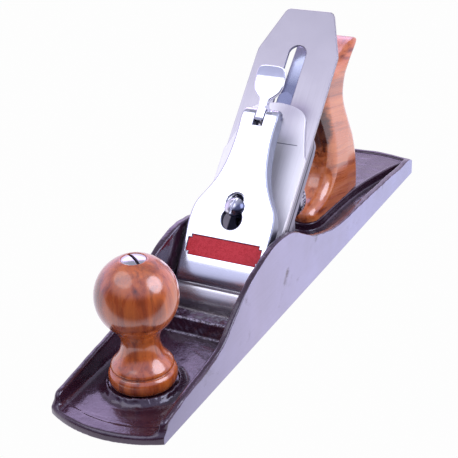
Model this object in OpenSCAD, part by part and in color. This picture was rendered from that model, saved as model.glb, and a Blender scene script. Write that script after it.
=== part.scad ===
// Bench plane of jack size, 14 inch sole and 2 inch iron.
// X runs across the sole, Y from the toe (-) to the heel (+), Z up.
// The origin is the middle of the sole's ground face.
// Places on the frog's 45 degree bed are given as (s, h): s is the distance up the bed from the
// line where the bed meets the sole's plane, h is the height above the bed, square to it.

/* [Sole] */
// Length of the sole from toe to heel
sole_len = 356; // [350:1:362]
// Width of the sole
sole_w = 63.5; // [63:0.5:65]
// Thickness of the sole plate
sole_t = 4; // [3.6:0.1:4.2]
// Thickness of the cheeks and side rails
wall_t = 3.9; // [3.4:0.1:3.9]
// Depth of the toe's round end
toe_sagitta = 8.6; // [6:0.2:10]
// Depth of the heel's round end
heel_sagitta = 5.6; // [4:0.2:7]
// Height of the cheeks at their peak
cheek_peak = 46.2; // [44:0.2:49]
// Distance of the frog's bed line from the middle of the sole, towards the toe
bed_y = -59.8; // [-60.4:0.2:-59.2]

/* [Irons] */
// Width of the cutting iron
iron_w = 50.8; // [50:0.2:51]
// Thickness of the cutting iron
iron_t = 2; // [1.8:0.1:2.2]
// Place of the cutting iron's top end along the bed
iron_top = 193; // [185:1:196]
// Thickness of the cap iron
cap_iron_t = 2.2; // [2:0.1:2.4]
// Half width of the cutting iron's slot
iron_slot_r = 5.6; // [5.6:0.1:5.8]

/* [Lever cap] */
// Place of the lever cap screw along the bed
clamp_s = 60.5; // [60:0.5:61]
// Place of the cam lever's pin along the bed
cam_s = 116.2; // [116:0.1:116.4]
// Height of the cam lever's pin above the bed
cam_h = 19.2; // [19:0.1:19.4]

/* [Adjusters] */
// Radius of the depth adjusting wheel
wheel_r = 14.5; // [13.5:0.5:15.5]
// Height of the depth wheel's stud above the sole
stud_z = 37; // [36.5:0.1:37]
// Number of notches around the depth wheel
wheel_notches = 40; // [24:4:48]

/* [Handles] */
// Place of the front knob along the sole
knob_y = -134.3; // [-138:0.5:-132]
// Radius of the front knob's ball
knob_r = 20.7; // [19:0.1:21.5]
// Width of the tote
tote_w = 23; // [20:0.5:24]
// Forward lean of the tote's rod, in degrees
tote_lean = 20; // [18:0.5:22]

/* [Hidden] */

// Finishes
enamel = [0.27, 0.16, 0.19];
frog_grey = [0.62, 0.6, 0.66];
steel = [0.76, 0.76, 0.78];
bright = [0.86, 0.87, 0.9];
dark_steel = [0.42, 0.42, 0.45];
badge_red = [0.82, 0.2, 0.22];
hardwood = [0.58, 0.27, 0.1];

// Clearances: sliding faces, turning pins and pieces that are only assembled
slide_gap = 0.02;
run_gap = 0.03;
eps = 0.01;
curve_steps = 5;

// Sole and casting
toe_y = -sole_len / 2;
heel_y = sole_len / 2;
half_w = sole_w / 2;
inner_w = half_w - wall_t;
mouth_half_w = inner_w - 0.4;
mouth_front_y = bed_y - 5.2;
ledge_z = 6;
pad_z = 12;
pad_rear_y = 0;
knob_seat_z = 6;
platform_z = 9;
rib_z = 12;

// Rods, screws, pins and rivets
rod_r = 3;
knob_seat_r = 17.9;
clamp_screw_r = 3;
screw_seat_h = 18.9;
breaker_screw_r = 3;
plate_screw_r = 2;
plate_screw_z = 23;
yoke_pin_r = 1.8;
cam_pin_r = 1.6;
spring_rivet_r = 1.6;
spring_rivet_s = 87;
lateral_rivet_r = 2;
disc_rivet_r = 1.5;

// Frog and its fastenings
bed_a = 45;
frog_half_w = 25;
frog_t = 8;
frog_rear_y = 4.5;
frog_base_z = 17;
frog_screw_x = 13;
frog_screw_y = -24;
frog_travel = 1;
thread_r = 2.6;
adjuster_z = 8.2;

// Yoke, wheel and lateral lever
yoke_s = 90;
yoke_h = -19;
yoke_yz = bed_point(yoke_s, yoke_h);
stud_r = 3.5;
sleeve_r = 6;
hub_y = yoke_yz[0];
rim_front_y = 26;
rim_rear_y = 33.5;
lateral_s = 126;
disc_s = 118;

// Irons: cutting edge, clipped top corners, slot and its round hole, along the bed
edge_s = -1.6;
bevel_a = 25;
iron_shoulder_s = 163;
iron_top_half = 14.6;
iron_hole_s = 50;
iron_slot_end_s = 164.2;
breaker_screw_s = 102;

// Tote
tote_foot_y = 112;
tote_half_w = tote_w / 2;
tote_nut_up = 93.45;

function bed_point(s, h) = [bed_y + (s - h) * cos(bed_a), (s + h) * sin(bed_a)];

// A smooth curve through the knots, with n steps between each two
function blend(a, b, c, d, t) =
    0.5 * (2 * b + (c - a) * t + (2 * a - 5 * b + 4 * c - d) * t * t
        + (3 * b - a - 3 * c + d) * t * t * t);
function smooth(k, n) = let (m = len(k) - 1) concat(
    [for (i = [0 : m - 1]) for (j = [0 : n - 1])
        blend(k[max(i - 1, 0)], k[i], k[i + 1], k[min(i + 2, m)], j / n)],
    [k[m]]);
function mirrored(points) = concat(points,
    [for (i = [len(points) - 1 : -1 : 0]) [-points[i][0], points[i][1]]]);
function arc(r, from, to, n) = [for (i = [0 : n]) let (a = from + (to - from) * i / n)
    [r * cos(a), r * sin(a)]];

// Side view of a cheek, (y, z), as offsets from the cheek's peak where the height matters
cheek_knots = [[-169.4, 7], [-166, 10.6], [-158, 11.8], [-133, 15.4], [-112.3, 18.2], [-104, 21.6],
    [-96, 27], [-81, 36.1], [-62.8, cheek_peak - 3.5], [-50, cheek_peak - 0.6],
    [-40.5, cheek_peak], [-29, cheek_peak - 1.2], [-19.1, cheek_peak - 4.3], [-10.8, 37.1],
    [-1.3, 31.8], [6.8, 28.2], [20.1, 23.6], [35.1, 19.8], [52, 17.7], [73, 17], [110, 15.2],
    [148, 12.8], [166, 12.1], [171.4, 10], [172.6, 6]];

// Plan of the raised platform under the tote, (x, y)
platform_knots = [[0, 52.6], [5.5, 54], [9, 58.5], [10.4, 66], [11, 85], [12.6, 110], [16.4, 133],
    [22.4, 156], [28, 170]];

// Side view of the tote, (y, z), from its toe round the grip to its heel
tote_front_knots = [[54.2, platform_z + 1], [54, 12.5], [56, 16], [62, 18.5], [69, 20.5],
    [76, 24.5], [80.8, 30.5], [82.6, 38], [81.8, 48], [78.6, 58], [74.6, 68], [71.4, 78],
    [70.2, 87], [72.2, 94.5], [78, 99], [87, 100.6], [97, 101.6], [108, 104.6], [118, 107.8],
    [124.8, 108.4]];
tote_rear_knots = [[125.6, 106.8], [121, 103.6], [112.8, 96.6], [106, 87.4], [104.4, 77.4],
    [110.2, 64], [118.7, 48.8], [123.6, 34], [125.6, 22], [125.4, platform_z + 1]];

// Knob's outline, (r, z), from the foot's edge up to the nut's pocket
knob_foot_knots = [[14, 0], [16.2, 1.6], [17.3, 4.2], [17.1, 7], [15.8, 9]];
knob_neck_knots = [[15.4, 9.9], [15.9, 10.7], [15, 12.6], [12.6, 15.4], [10.7, 18.8], [9.65, 23],
    [10, 27], [11.8, 31]];
knob_ball_z = 48.7;
nut_pocket_r = 6.6;

// Lever cap: half plan (x, s), face and back (s, h)
cap_plan_knots = [[24.6, 15.4], [25.1, 30], [25.6, 46], [25.3, 55], [23.6, 61.5], [19.4, 68.5],
    [15.6, 76], [12.9, 85], [11.4, 96], [11.1, 106], [11.3, 113], [10.4, 119.8]];
cap_face_knots = [[15.8, 9], [15.3, 10.4], [16.6, 12.4], [19.8, 14.1], [25, 15.3], [31, 16.1],
    [45, 17.8], [60, 19.3], [80, 21.4], [100, 23.3], [112, 24.1], [116, 23.9], [118.2, 22.8],
    [119.4, 20.9], [119.6, 19]];
cap_back_knots = [[119.6, 17], [108, 15.2], [95, 13.9], [80, 12.4], [60, 10.9], [45, 10.2],
    [31, 9.7], [24, 9.4], [19, 9]];
cap_wall = 3.4;
cap_slot_s = 108.2;

module on_bed() {
    translate([0, bed_y, 0]) rotate([bed_a, 0, 0]) children();
}

// Extrudes a side view, drawn as (y, z), across X from x0 to x1
module across(x0, x1) {
    translate([x0, 0, 0]) rotate([90, 0, 90]) linear_extrude(x1 - x0) children();
}

// The same on the bed, drawn as (s, h)
module across_bed(half) {
    on_bed() across(-half, half) children();
}

// A round peg square to the bed, from height h0 to h1
module bed_peg(s, h0, h1, r) {
    on_bed() translate([0, s, h0]) cylinder(r = r, h = h1 - h0, $fn = 64);
}

// A slot with round ends along Y or along the bed, from a to b
module slot2d(a, b, r) {
    translate([0, a]) circle(r = r, $fn = 48);
    translate([0, b]) circle(r = r, $fn = 48);
    translate([-r, a]) square([2 * r, b - a]);
}

module cylinder_y(r, y0, y1, x = 0, z = 0) {
    translate([x, y0, z]) rotate([-90, 0, 0]) cylinder(r = r, h = y1 - y0, $fn = 96);
}

module cylinder_x(r, x0, x1) {
    translate([x0, 0, 0]) rotate([0, 90, 0]) cylinder(r = r, h = x1 - x0, $fn = 64);
}

// A straight screwdriver slot in a head at the origin, facing +Z
module driver_slot(len, wide, deep, turn = 0) {
    rotate([0, 0, turn]) translate([-len / 2, -wide / 2, -deep]) cube([len, wide, deep + 5]);
}

// ---- Body casting ----

module sole_plan() {
    toe_r = (half_w * half_w + toe_sagitta * toe_sagitta) / (2 * toe_sagitta);
    heel_r = (half_w * half_w + heel_sagitta * heel_sagitta) / (2 * heel_sagitta);
    toe_half_a = asin(half_w / toe_r);
    heel_half_a = asin(half_w / heel_r);
    toe_points = [for (p = arc(toe_r, 270 - toe_half_a, 270 + toe_half_a, 24))
        [p[0], p[1] + toe_y + toe_r]];
    heel_points = [for (p = arc(heel_r, 90 - heel_half_a, 90 + heel_half_a, 24))
        [p[0], p[1] + heel_y - heel_r]];
    polygon(concat(toe_points, heel_points));
}

module cheek_view() {
    polygon(concat([[-169.4, 0.5]], smooth(cheek_knots, curve_steps), [[172.6, 0.5]]));
}

module mouth_view() {
    below = bed_point(-2.2, -0.4);
    above = bed_point(24, -0.4);
    polygon([[mouth_front_y, -1], [below[0] + 0.6, -1], below, above, [mouth_front_y, above[1]]]);
}

module knob_boss() {
    translate([0, knob_y, sole_t - 1]) cylinder(r1 = 21, r2 = 19.4, h = 5, $fn = 128);
}

module body_casting() {
    color(enamel)
    difference() {
        union() {
            linear_extrude(sole_t) sole_plan();
            for (x = [-half_w, inner_w]) across(x, x + wall_t) cheek_view();
            // Stiffening rib in front of the mouth
            across(-inner_w - eps, inner_w + eps)
                polygon([[-84.2, 3], [-83.4, 4.4], [-80.8, rib_z - 0.8], [-79.4, rib_z],
                    [-72.8, rib_z], [-71.2, rib_z - 0.6], [mouth_front_y - 1, 5.4],
                    [mouth_front_y - 1, 3]]);
            // Frog seat: front ledge, rear pad and the key that guides the frog
            across(-inner_w - eps, inner_w + eps)
                polygon([[mouth_front_y + 2, 3], [mouth_front_y + 2, ledge_z], [-43, ledge_z],
                    [-43, 3]]);
            across(-20, 20) polygon([[-41, 3], [-41, pad_z], [pad_rear_y, pad_z], [pad_rear_y, 3]]);
            across(-3, 3) polygon([[-38, 11], [-38, pad_z + 2], [-4, pad_z + 2], [-4, 11]]);
            knob_boss();
            // Platform under the tote, and the lip along the heel
            intersection() {
                translate([0, 0, 3]) linear_extrude(platform_z - 3)
                    polygon(mirrored_platform());
                linear_extrude(20) sole_plan();
            }
            difference() {
                linear_extrude(platform_z + 1) sole_plan();
                translate([0, -3.2, -1]) linear_extrude(20) sole_plan();
                translate([-50, toe_y - 50, -1]) cube([100, sole_len, 30]);
            }
        }
        across(-mouth_half_w, mouth_half_w) mouth_view();
        // Knob: seat and tapped hole
        translate([0, knob_y, knob_seat_z]) cylinder(r = knob_seat_r, h = 10, $fn = 128);
        translate([0, knob_y, 1.5]) cylinder(r = rod_r + run_gap, h = 10, $fn = 48);
        // Tapped holes for the frog screws and the frog's adjusting screw
        for (x = [-frog_screw_x, frog_screw_x])
            translate([x, frog_screw_y, 2]) cylinder(r = thread_r, h = 20, $fn = 48);
        cylinder_y(thread_r, -22, 1, 0, adjuster_z);
        // Tapped hole for the tote's rod
        tote_rod_place() translate([0, 0, -4.5]) cylinder(r = rod_r + run_gap, h = 20, $fn = 48);
    }
}

function mirrored_platform() = let (side = smooth(platform_knots, curve_steps))
    concat(side, [[half_w - 1, heel_y], [1 - half_w, heel_y]],
        [for (i = [len(side) - 1 : -1 : 1]) [-side[i][0], side[i][1]]]);

// ---- Frog ----

module frog_bed_plan() {
    top_s = 133;
    shoulder_s = 108;
    corner = smooth([[frog_half_w, shoulder_s], [frog_half_w - 0.8, 113], [frog_half_w - 4.5, 118.5],
        [15, 123.5], [9, 129.5], [4, top_s - 0.5], [0, top_s]], curve_steps);
    polygon(concat([[-frog_half_w, 8.5], [frog_half_w, 8.5]], corner,
        [for (i = [len(corner) - 2 : -1 : 0]) [-corner[i][0], corner[i][1]]]));
}

module frog_slab() {
    on_bed() translate([0, 0, -frog_t]) linear_extrude(frog_t - slide_gap) frog_bed_plan();
}

// Side view of the frog's webs and middle block, below the bed slab
module frog_web_view() {
    back = bed_point(97, -frog_t + 1);
    front = bed_point(24, -frog_t + 1);
    polygon([[-41, pad_z + slide_gap], [frog_rear_y, pad_z + slide_gap], [frog_rear_y, 42],
        [frog_rear_y + 1.5, 50], back, front]);
}

module frog_well(x) {
    translate([x, frog_screw_y + frog_travel / 2, pad_z + slide_gap]) {
        cylinder(r = 9.2, h = 60, $fn = 64);
    }
}

module below_bed() {
    on_bed() translate([-100, -50, -200]) cube([200, 300, 200 - frog_t / 2]);
}

module frog() {
    yoke_gap_half = 4.9;
    color(frog_grey)
    difference() {
        union() {
            frog_slab();
            across(-8, 8) frog_web_view();
            for (x = [-20, 16]) across(x, x + 4) frog_web_view();
            // Base plate, front foot and the wells round the two screws
            across(-20, 20) polygon([[-41, pad_z + slide_gap], [frog_rear_y, pad_z + slide_gap],
                [frog_rear_y, frog_base_z], [-36, frog_base_z]]);
            intersection() {
                across(-frog_half_w, frog_half_w) polygon([[-54.5, ledge_z + slide_gap],
                    [-44, ledge_z + slide_gap], [-41.4, 10], [-41, 20], [-54.5, 20]]);
                below_bed();
            }
            intersection() {
                for (x = [-frog_screw_x, frog_screw_x]) frog_well(x);
                below_bed();
            }
            // Ears that carry the yoke's pin
            for (x = [-yoke_gap_half - 4, yoke_gap_half]) {
                translate([0, yoke_yz[0], yoke_yz[1]]) cylinder_x(4.8, x, x + 4);
                on_bed() across(x, x + 4) polygon([[yoke_s - 4, yoke_h + 2.2], [yoke_s - 4, -4],
                    [yoke_s + 4, -4], [yoke_s + 4, yoke_h + 2.2]]);
            }
        }
        // Foot of the slab and the ledge under it
        translate([-40, -80, -10]) cube([80, 80 - 41.9, 10 + ledge_z + slide_gap]);
        translate([-40, -41, 0]) cube([80, 60, pad_z + slide_gap]);
        // Keyway, screw slots and the screwdriver wells above them
        across(-3.1, 3.1) polygon([[-60, 0], [-60, pad_z + 2.1], [20, pad_z + 2.1], [20, 0]]);
        for (x = [-frog_screw_x, frog_screw_x]) {
            translate([x, frog_screw_y, 0]) {
                linear_extrude(40) slot2d(-0.3, frog_travel + 0.3, 3);
                translate([0, 0, frog_base_z]) linear_extrude(60)
                    slot2d(-0.3, frog_travel + 0.3, 7);
            }
        }
        // Lever cap screw, cap iron screw's head, yoke finger and lateral lever
        bed_peg(clamp_s, -11, 5, clamp_screw_r + run_gap);
        on_bed() translate([0, 0, -4.3]) linear_extrude(10) slot2d(breaker_screw_s - 0.6,
            breaker_screw_s + 0.6, 9.6);
        on_bed() translate([-3.7, yoke_s - 4.7, -20]) cube([7.4, 9.4, 30]);
        on_bed() translate([-yoke_gap_half, yoke_s - 5.6, -40])
            cube([2 * yoke_gap_half, 12, 40 - frog_t]);
        on_bed() translate([0, 0, -2.8]) linear_extrude(10) slot2d(lateral_s - 6, lateral_s + 20, 8.4);
        bed_peg(lateral_s, -20, 5, lateral_rivet_r + run_gap);
        // Yoke pin, wheel stud and plate screw
        translate([0, yoke_yz[0], yoke_yz[1]]) cylinder_x(yoke_pin_r + run_gap, -12, 12);
        cylinder_y(stud_r + run_gap, 0, 12, 0, stud_z);
        cylinder_y(plate_screw_r + run_gap, -6, 12, 0, plate_screw_z);
    }
}

module frog_screws() {
    color(steel)
    for (x = [-frog_screw_x, frog_screw_x]) translate([x, frog_screw_y, 0]) difference() {
        union() {
            translate([0, 0, 3]) cylinder(r = thread_r - 0.05, h = 17, $fn = 48);
            translate([0, 0, frog_base_z + 1.3]) cylinder(r1 = 4.6, r2 = 4.2, h = 3.2, $fn = 48);
        }
        translate([0, 0, frog_base_z + 4.5]) driver_slot(12, 1.2, 1.6, 25);
    }
}

module frog_washers() {
    color(steel)
    for (x = [-frog_screw_x, frog_screw_x]) translate([x, frog_screw_y, frog_base_z + slide_gap])
        difference() {
            cylinder(r = 6, h = 1.2, $fn = 64);
            translate([0, 0, -1]) cylinder(r = 2.8, h = 4, $fn = 48);
        }
}

module frog_adjusting_screw() {
    color(steel)
    difference() {
        union() {
            cylinder_y(thread_r - 0.05, -18, 10, 0, adjuster_z);
            cylinder_y(4, 3, 5.1, 0, adjuster_z);
            cylinder_y(4, 7.3, 10.6, 0, adjuster_z);
        }
        translate([-6, 9.2, adjuster_z - 0.6]) cube([12, 4, 1.2]);
    }
}

module frog_adjusting_plate() {
    color(steel)
    difference() {
        across(-5, 5) polygon([[frog_rear_y + 0.02, 14], [frog_rear_y + 0.02, 28],
            [frog_rear_y + 1.8, 28], [frog_rear_y + 1.8, 16], [7.2, 14.4], [7.2, 4.8], [5.2, 4.8],
            [5.2, 13.4]]);
        cylinder_y(2.8, 0, 12, 0, adjuster_z);
        translate([-2.8, 4, 0]) cube([5.6, 6, adjuster_z]);
        cylinder_y(plate_screw_r + run_gap, 0, 12, 0, plate_screw_z);
    }
}

module frog_plate_screw() {
    color(steel)
    difference() {
        union() {
            cylinder_y(plate_screw_r, -5, 7, 0, plate_screw_z);
            cylinder_y(3.6, frog_rear_y + 1.82, frog_rear_y + 4, 0, plate_screw_z);
        }
        translate([-6, frog_rear_y + 3, plate_screw_z - 0.5]) cube([12, 4, 1]);
    }
}

// ---- Depth adjuster ----

module yoke_lever() {
    color(steel)
    difference() {
        union() {
            translate([0, yoke_yz[0], yoke_yz[1]]) cylinder_x(4, -4.6, 4.6);
            // Finger up through the frog and the irons
            on_bed() across(-2.6, 2.6) polygon([[yoke_s - 2.5, yoke_h], [yoke_s - 2.5, 3.8],
                [yoke_s - 1.9, 4.4], [yoke_s + 1.9, 4.4], [yoke_s + 2.5, 3.8],
                [yoke_s + 2.5, yoke_h]]);
            // Neck, crossbar and the two arms in the wheel hub's groove
            across(-4.2, 4.2) translate([hub_y, 0]) polygon([[-1.3, 42.2], [1.3, 42.2], [1.3, 45],
                [2.4, 49], [-2.4, 49], [-1.3, 45]]);
            across(-8.6, 8.6) translate([hub_y - 1.3, 42]) square([2.6, 2.9]);
            for (x = [-8.6, 5]) across(x, x + 3.6) translate([hub_y, 0]) {
                polygon([[-1.3, 35.5], [1.3, 35.5], [1.3, 44.5], [-1.3, 44.5]]);
                translate([0, 35.5]) circle(r = 1.3, $fn = 32);
            }
        }
        translate([0, yoke_yz[0], yoke_yz[1]]) cylinder_x(yoke_pin_r + 2 * run_gap, -12, 12);
    }
}

module yoke_pin() {
    color(bright)
    translate([0, yoke_yz[0], yoke_yz[1]]) cylinder_x(yoke_pin_r, -8.8, 8.8);
}

module depth_adjuster_stud() {
    color(steel)
    union() {
        cylinder_y(stud_r, 0.5, 39, 0, stud_z);
        cylinder_y(stud_r - 0.8, 39, 40, 0, stud_z);
    }
}

module depth_wheel_hub() {
    color(steel)
    difference() {
        union() {
            cylinder_y(7.2, hub_y - 4, hub_y - 2, 0, stud_z);
            cylinder_y(4.6, hub_y - 2, hub_y + 2, 0, stud_z);
            cylinder_y(7.2, hub_y + 2, rim_front_y - 0.05, 0, stud_z);
            cylinder_y(sleeve_r, rim_front_y - 1, rim_rear_y, 0, stud_z);
        }
        cylinder_y(stud_r + run_gap, 0, 60, 0, stud_z);
    }
}

module depth_wheel() {
    depth = rim_rear_y - rim_front_y;
    color(bright)
    translate([0, rim_front_y, stud_z]) rotate([-90, 0, 0]) difference() {
        rotate_extrude($fn = 128) polygon([[sleeve_r + run_gap, 0], [8.6, 0], [9.2, 1.4],
            [wheel_r - 2.6, 1.4], [wheel_r - 1.8, 0], [wheel_r - 0.7, 0], [wheel_r, 1],
            [wheel_r, depth - 1], [wheel_r - 0.7, depth], [wheel_r - 1.8, depth],
            [wheel_r - 2.6, depth - 1.4], [9.2, depth - 1.4], [8.6, depth],
            [sleeve_r + run_gap, depth]]);
        for (i = [1 : wheel_notches]) rotate([0, 0, i * 360 / wheel_notches])
            translate([wheel_r + 0.25, 0, 1.6]) cylinder(r = 0.7, h = depth - 3.2, $fn = 6);
    }
}

// ---- Lateral adjuster ----

module lateral_lever() {
    tab_s = 171;
    color(steel)
    difference() {
        union() {
            on_bed() translate([0, 0, -2.4]) linear_extrude(1.6) slot2d(disc_s, 136, 4.8);
            across_bed(4.6) polygon([[134, -2.4], [139, -4.6], [tab_s, -6.4], [tab_s + 2.4, -8.4],
                [tab_s + 3, -16], [tab_s + 4.6, -16], [tab_s + 4, -7.8], [tab_s + 1, -4.8],
                [139.6, -3.0], [134, -0.8]]);
            // Curled thumb tab across the lever's end
            on_bed() translate([0, tab_s + 3.8, -16.4]) cylinder_x(1.6, -8.5, 8.5);
        }
        bed_peg(lateral_s, -10, 2, lateral_rivet_r + run_gap);
        bed_peg(disc_s, -10, 2, disc_rivet_r + run_gap);
    }
}

module lateral_lever_rivet() {
    color(bright)
    union() {
        bed_peg(lateral_s, -frog_t - 1.2, -0.7, lateral_rivet_r);
        bed_peg(lateral_s, -0.75, -0.1, 2.5);
        bed_peg(lateral_s, -frog_t - 1.4, -frog_t - 0.02, 3.2);
    }
}

module lateral_disc() {
    color(bright)
    difference() {
        bed_peg(disc_s, -0.75, iron_t - 0.15, iron_slot_r - 0.2);
        bed_peg(disc_s, -10, 10, disc_rivet_r + run_gap);
    }
}

module lateral_disc_rivet() {
    color(bright)
    bed_peg(disc_s, -2.6, iron_t - 0.12, disc_rivet_r);
}

// ---- Irons ----

// Plan of the cutting iron, with its clipped top corners slightly rounded
module iron_plan() {
    half = iron_w / 2;
    polygon(mirrored([[half, edge_s - 2], [half, iron_shoulder_s], [half - 0.25, iron_shoulder_s + 2.4],
        [half - 1, iron_shoulder_s + 4.6], [iron_top_half + 1, iron_top - 2.2],
        [iron_top_half, iron_top - 0.8], [iron_top_half - 1.6, iron_top]]));
}

module cutting_iron() {
    bevel = iron_t / tan(bevel_a);
    under = 1 / tan(bevel_a);
    color(steel)
    difference() {
        on_bed() linear_extrude(iron_t) iron_plan();
        // Slot, with the round hole that lets the cap iron screw's head through
        on_bed() translate([0, 0, -1]) linear_extrude(iron_t + 2)
            slot2d(iron_hole_s, iron_slot_end_s, iron_slot_r);
        bed_peg(iron_hole_s, -1, iron_t + 1, 9);
        // Ground bevel under the cutting edge
        across_bed(40) polygon([[edge_s - bevel, 2 * iron_t], [edge_s - bevel, -1],
            [edge_s + bevel + under, -1]]);
    }
}

module cap_iron_plan() {
    half = iron_w / 2 - 0.1;
    side = smooth([[half, 97], [half - 0.1, 99.5], [23.6, 103], [20, 116], [17.8, 124.6],
        [14, 128.4], [8, 130.6], [0, 131.6]], curve_steps);
    difference() {
        polygon(concat([[-half, 0], [half, 0]], side,
            [for (i = [len(side) - 2 : -1 : 0]) [-side[i][0], side[i][1]]]));
        slot2d(clamp_s - 2.5, clamp_s + 2.5, 4.2);
        translate([-3.6, yoke_s - 2.8]) square([7.2, 5.6]);
        translate([0, breaker_screw_s]) circle(r = breaker_screw_r + run_gap, $fn = 48);
    }
}

// Side view of the cap iron: flat strip, hump and the edge that presses on the iron
module cap_iron_view() {
    base = iron_t + slide_gap;
    flat = base + cap_iron_t;
    outer = smooth([[26.5, flat], [23, flat + 0.6], [19.2, 7], [15.4, 8.3], [11.5, 7.75],
        [7.6, 6.3], [4.2, 4.3], [2.3, 2.7], [1.6, base]], curve_steps);
    inner = smooth([[3.7, base], [6, 3.6], [9, 5], [12.6, 6], [16.4, 5.6], [20, 4],
        [23.4, base + 0.4], [26, base]], curve_steps);
    polygon(concat([[140, base], [140, flat]], outer, inner));
}

module cap_iron() {
    color(bright)
    intersection() {
        across_bed(40) cap_iron_view();
        on_bed() translate([0, 0, -1]) linear_extrude(20) cap_iron_plan();
    }
}

module cap_iron_screw() {
    color(dark_steel)
    difference() {
        union() {
            bed_peg(breaker_screw_s, -3.6, -0.02, 7.5);
            bed_peg(breaker_screw_s, -1, iron_t + cap_iron_t, breaker_screw_r);
        }
        on_bed() translate([0, breaker_screw_s, -3.6]) mirror([0, 0, 1])
            driver_slot(20, 1.4, 1.4, 0);
    }
}

// ---- Lever cap ----

module lever_cap_screw() {
    color(bright)
    on_bed() translate([0, clamp_s, 0]) difference() {
        union() {
            translate([0, 0, -10]) cylinder(r = clamp_screw_r, h = 10 + screw_seat_h + 1, $fn = 64);
            translate([0, 0, screw_seat_h + slide_gap]) intersection() {
                cylinder(r = 5.5, h = 3.8, $fn = 96);
                translate([0, 0, -3.4]) sphere(r = 7.2, $fn = 96);
            }
        }
        translate([0, 0, screw_seat_h + 3.8]) driver_slot(14, 1.3, 2, 80);
    }
}

module cap_plan(inset) {
    side = smooth(cap_plan_knots, curve_steps);
    right = [for (p = side) [p[0] - inset, p[1]]];
    polygon(mirrored(right));
}

module cap_shell_view() {
    polygon(concat(smooth(cap_face_knots, curve_steps), smooth(cap_back_knots, 2)));
}

// Hollow under the lever cap's face
module cap_hollow_view() {
    polygon([[26, 0], [26, 12], [45, 14.4], [60, 15.8], [80, 17.8], [100, 19.6], [109, 20.2],
        [109, 0]]);
}

module lever_cap() {
    pin_boss_r = 3.6;
    color(bright)
    difference() {
        union() {
            difference() {
                intersection() {
                    across_bed(40) cap_shell_view();
                    on_bed() linear_extrude(40) cap_plan(0);
                }
                intersection() {
                    across_bed(40) cap_hollow_view();
                    on_bed() linear_extrude(40) cap_plan(cap_wall);
                }
            }
            // Boss for the spring's rivet, and bosses for the cam's pin
            on_bed() translate([-5.5, spring_rivet_s - 5, 10]) cube([11, 10, 9]);
            for (x = [-8.6, 2.9]) on_bed() across(x, x + 5.7) {
                translate([cam_s, cam_h]) circle(r = pin_boss_r, $fn = 64);
                translate([cam_s - pin_boss_r, cam_h]) square([2 * pin_boss_r, 3]);
            }
        }
        // Keyhole for the screw, with a flat seat for its head
        on_bed() linear_extrude(40) slot2d(53.6, 64.6, 3.8);
        on_bed() translate([0, 53.6, 0]) cylinder(r = 6.1, h = 40, $fn = 96);
        on_bed() translate([0, 0, screw_seat_h]) linear_extrude(20) slot2d(clamp_s, 63, 5.8);
        // Cam slot and pin bore
        on_bed() translate([-2.8, cap_slot_s, 5]) cube([5.6, 30, 30]);
        on_bed() translate([0, cam_s, cam_h]) cylinder_x(cam_pin_r + run_gap, -9, 9);
        bed_peg(spring_rivet_s, 0, 16, spring_rivet_r + run_gap);
        on_bed() badge_block(0.05);
    }
}

// Sunken name-plate panel with stepped ends, left plain
module badge_plan(grow) {
    wide = 22.3 + grow;
    low = 30.4 - grow;
    high = 41.4 + grow;
    step = 1.8;
    polygon([[-wide, low + step], [-wide + step, low + step], [-wide + step, low],
        [wide - step, low], [wide - step, low + step], [wide, low + step], [wide, high - step],
        [wide - step, high - step], [wide - step, high], [step - wide, high],
        [step - wide, high - step], [-wide, high - step]]);
}

module badge_block(grow) {
    translate([0, 0, 15.2 - grow]) linear_extrude(8) badge_plan(grow);
}

module lever_cap_badge() {
    color(badge_red)
    intersection() {
        on_bed() badge_block(0);
        across_bed(40) polygon([[20, 10], [31, 15.9], [45, 17.6], [50, 10]]);
    }
}

module lever_cap_spring() {
    color(steel)
    difference() {
        across_bed(5.2) polygon([[80, 9.98], [93, 9.98], [96, 9.6], [110, 5.7], [112.5, 5.4],
            [122, 5.4], [122, 4.6], [112.2, 4.6], [109.6, 4.9], [95.8, 8.8], [92.8, 9.1],
            [80, 9.1]]);
        bed_peg(spring_rivet_s, 0, 16, spring_rivet_r + run_gap);
    }
}

module spring_rivet() {
    color(bright)
    union() {
        bed_peg(spring_rivet_s, 8, 15.9, spring_rivet_r);
        bed_peg(spring_rivet_s, 7.9, 9.08, 3);
    }
}

module cam_lever() {
    color(bright)
    difference() {
        union() {
            across_bed(2.55) {
                translate([cam_s, cam_h]) circle(r = 4.6, $fn = 64);
                translate([cam_s + 0.4, 10.6]) circle(r = 5.1, $fn = 64);
                polygon([[cam_s - 4.4, 11], [cam_s - 4.4, cam_h], [cam_s + 4.6, cam_h],
                    [cam_s + 5.4, 11]]);
                polygon([[cam_s - 2, cam_h], [cam_s - 4.9, cam_h + 0.8], [110.9, 24.3], [112.4, 25.05],
                    [118, 25.3], [127, 25.4], [127, 22.6], [122, 21.2], [cam_s + 3.6, cam_h - 1]]);
            }
            // Paddle for the thumb, curling up at its end
            intersection() {
                across_bed(12) polygon(concat(
                    smooth([[120.5, 24.6], [126, 25.2], [131, 25.5], [136, 26.2], [139, 27.3],
                        [141.4, 29.2], [142.6, 30.2]], 4),
                    smooth([[143.4, 29.4], [142.6, 27.4], [140.6, 25.4], [137.4, 24], [132, 23],
                        [126, 22.4], [120.5, 22]], 4)));
                on_bed() linear_extrude(40) polygon(mirrored(smooth([[2, 120], [2.2, 121.6],
                    [3.4, 123.6], [5.6, 125.8], [7.8, 128.4], [8.9, 132], [9.1, 136.4],
                    [8.7, 140], [7.5, 142.4], [4.6, 143.4], [0.5, 143.6]], 4)));
            }
        }
        on_bed() translate([0, cam_s, cam_h]) cylinder_x(cam_pin_r + run_gap, -9, 9);
    }
}

module cam_pin() {
    color(bright)
    on_bed() translate([0, cam_s, cam_h]) cylinder_x(cam_pin_r, -8.5, 8.5);
}

// ---- Front knob ----

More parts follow.
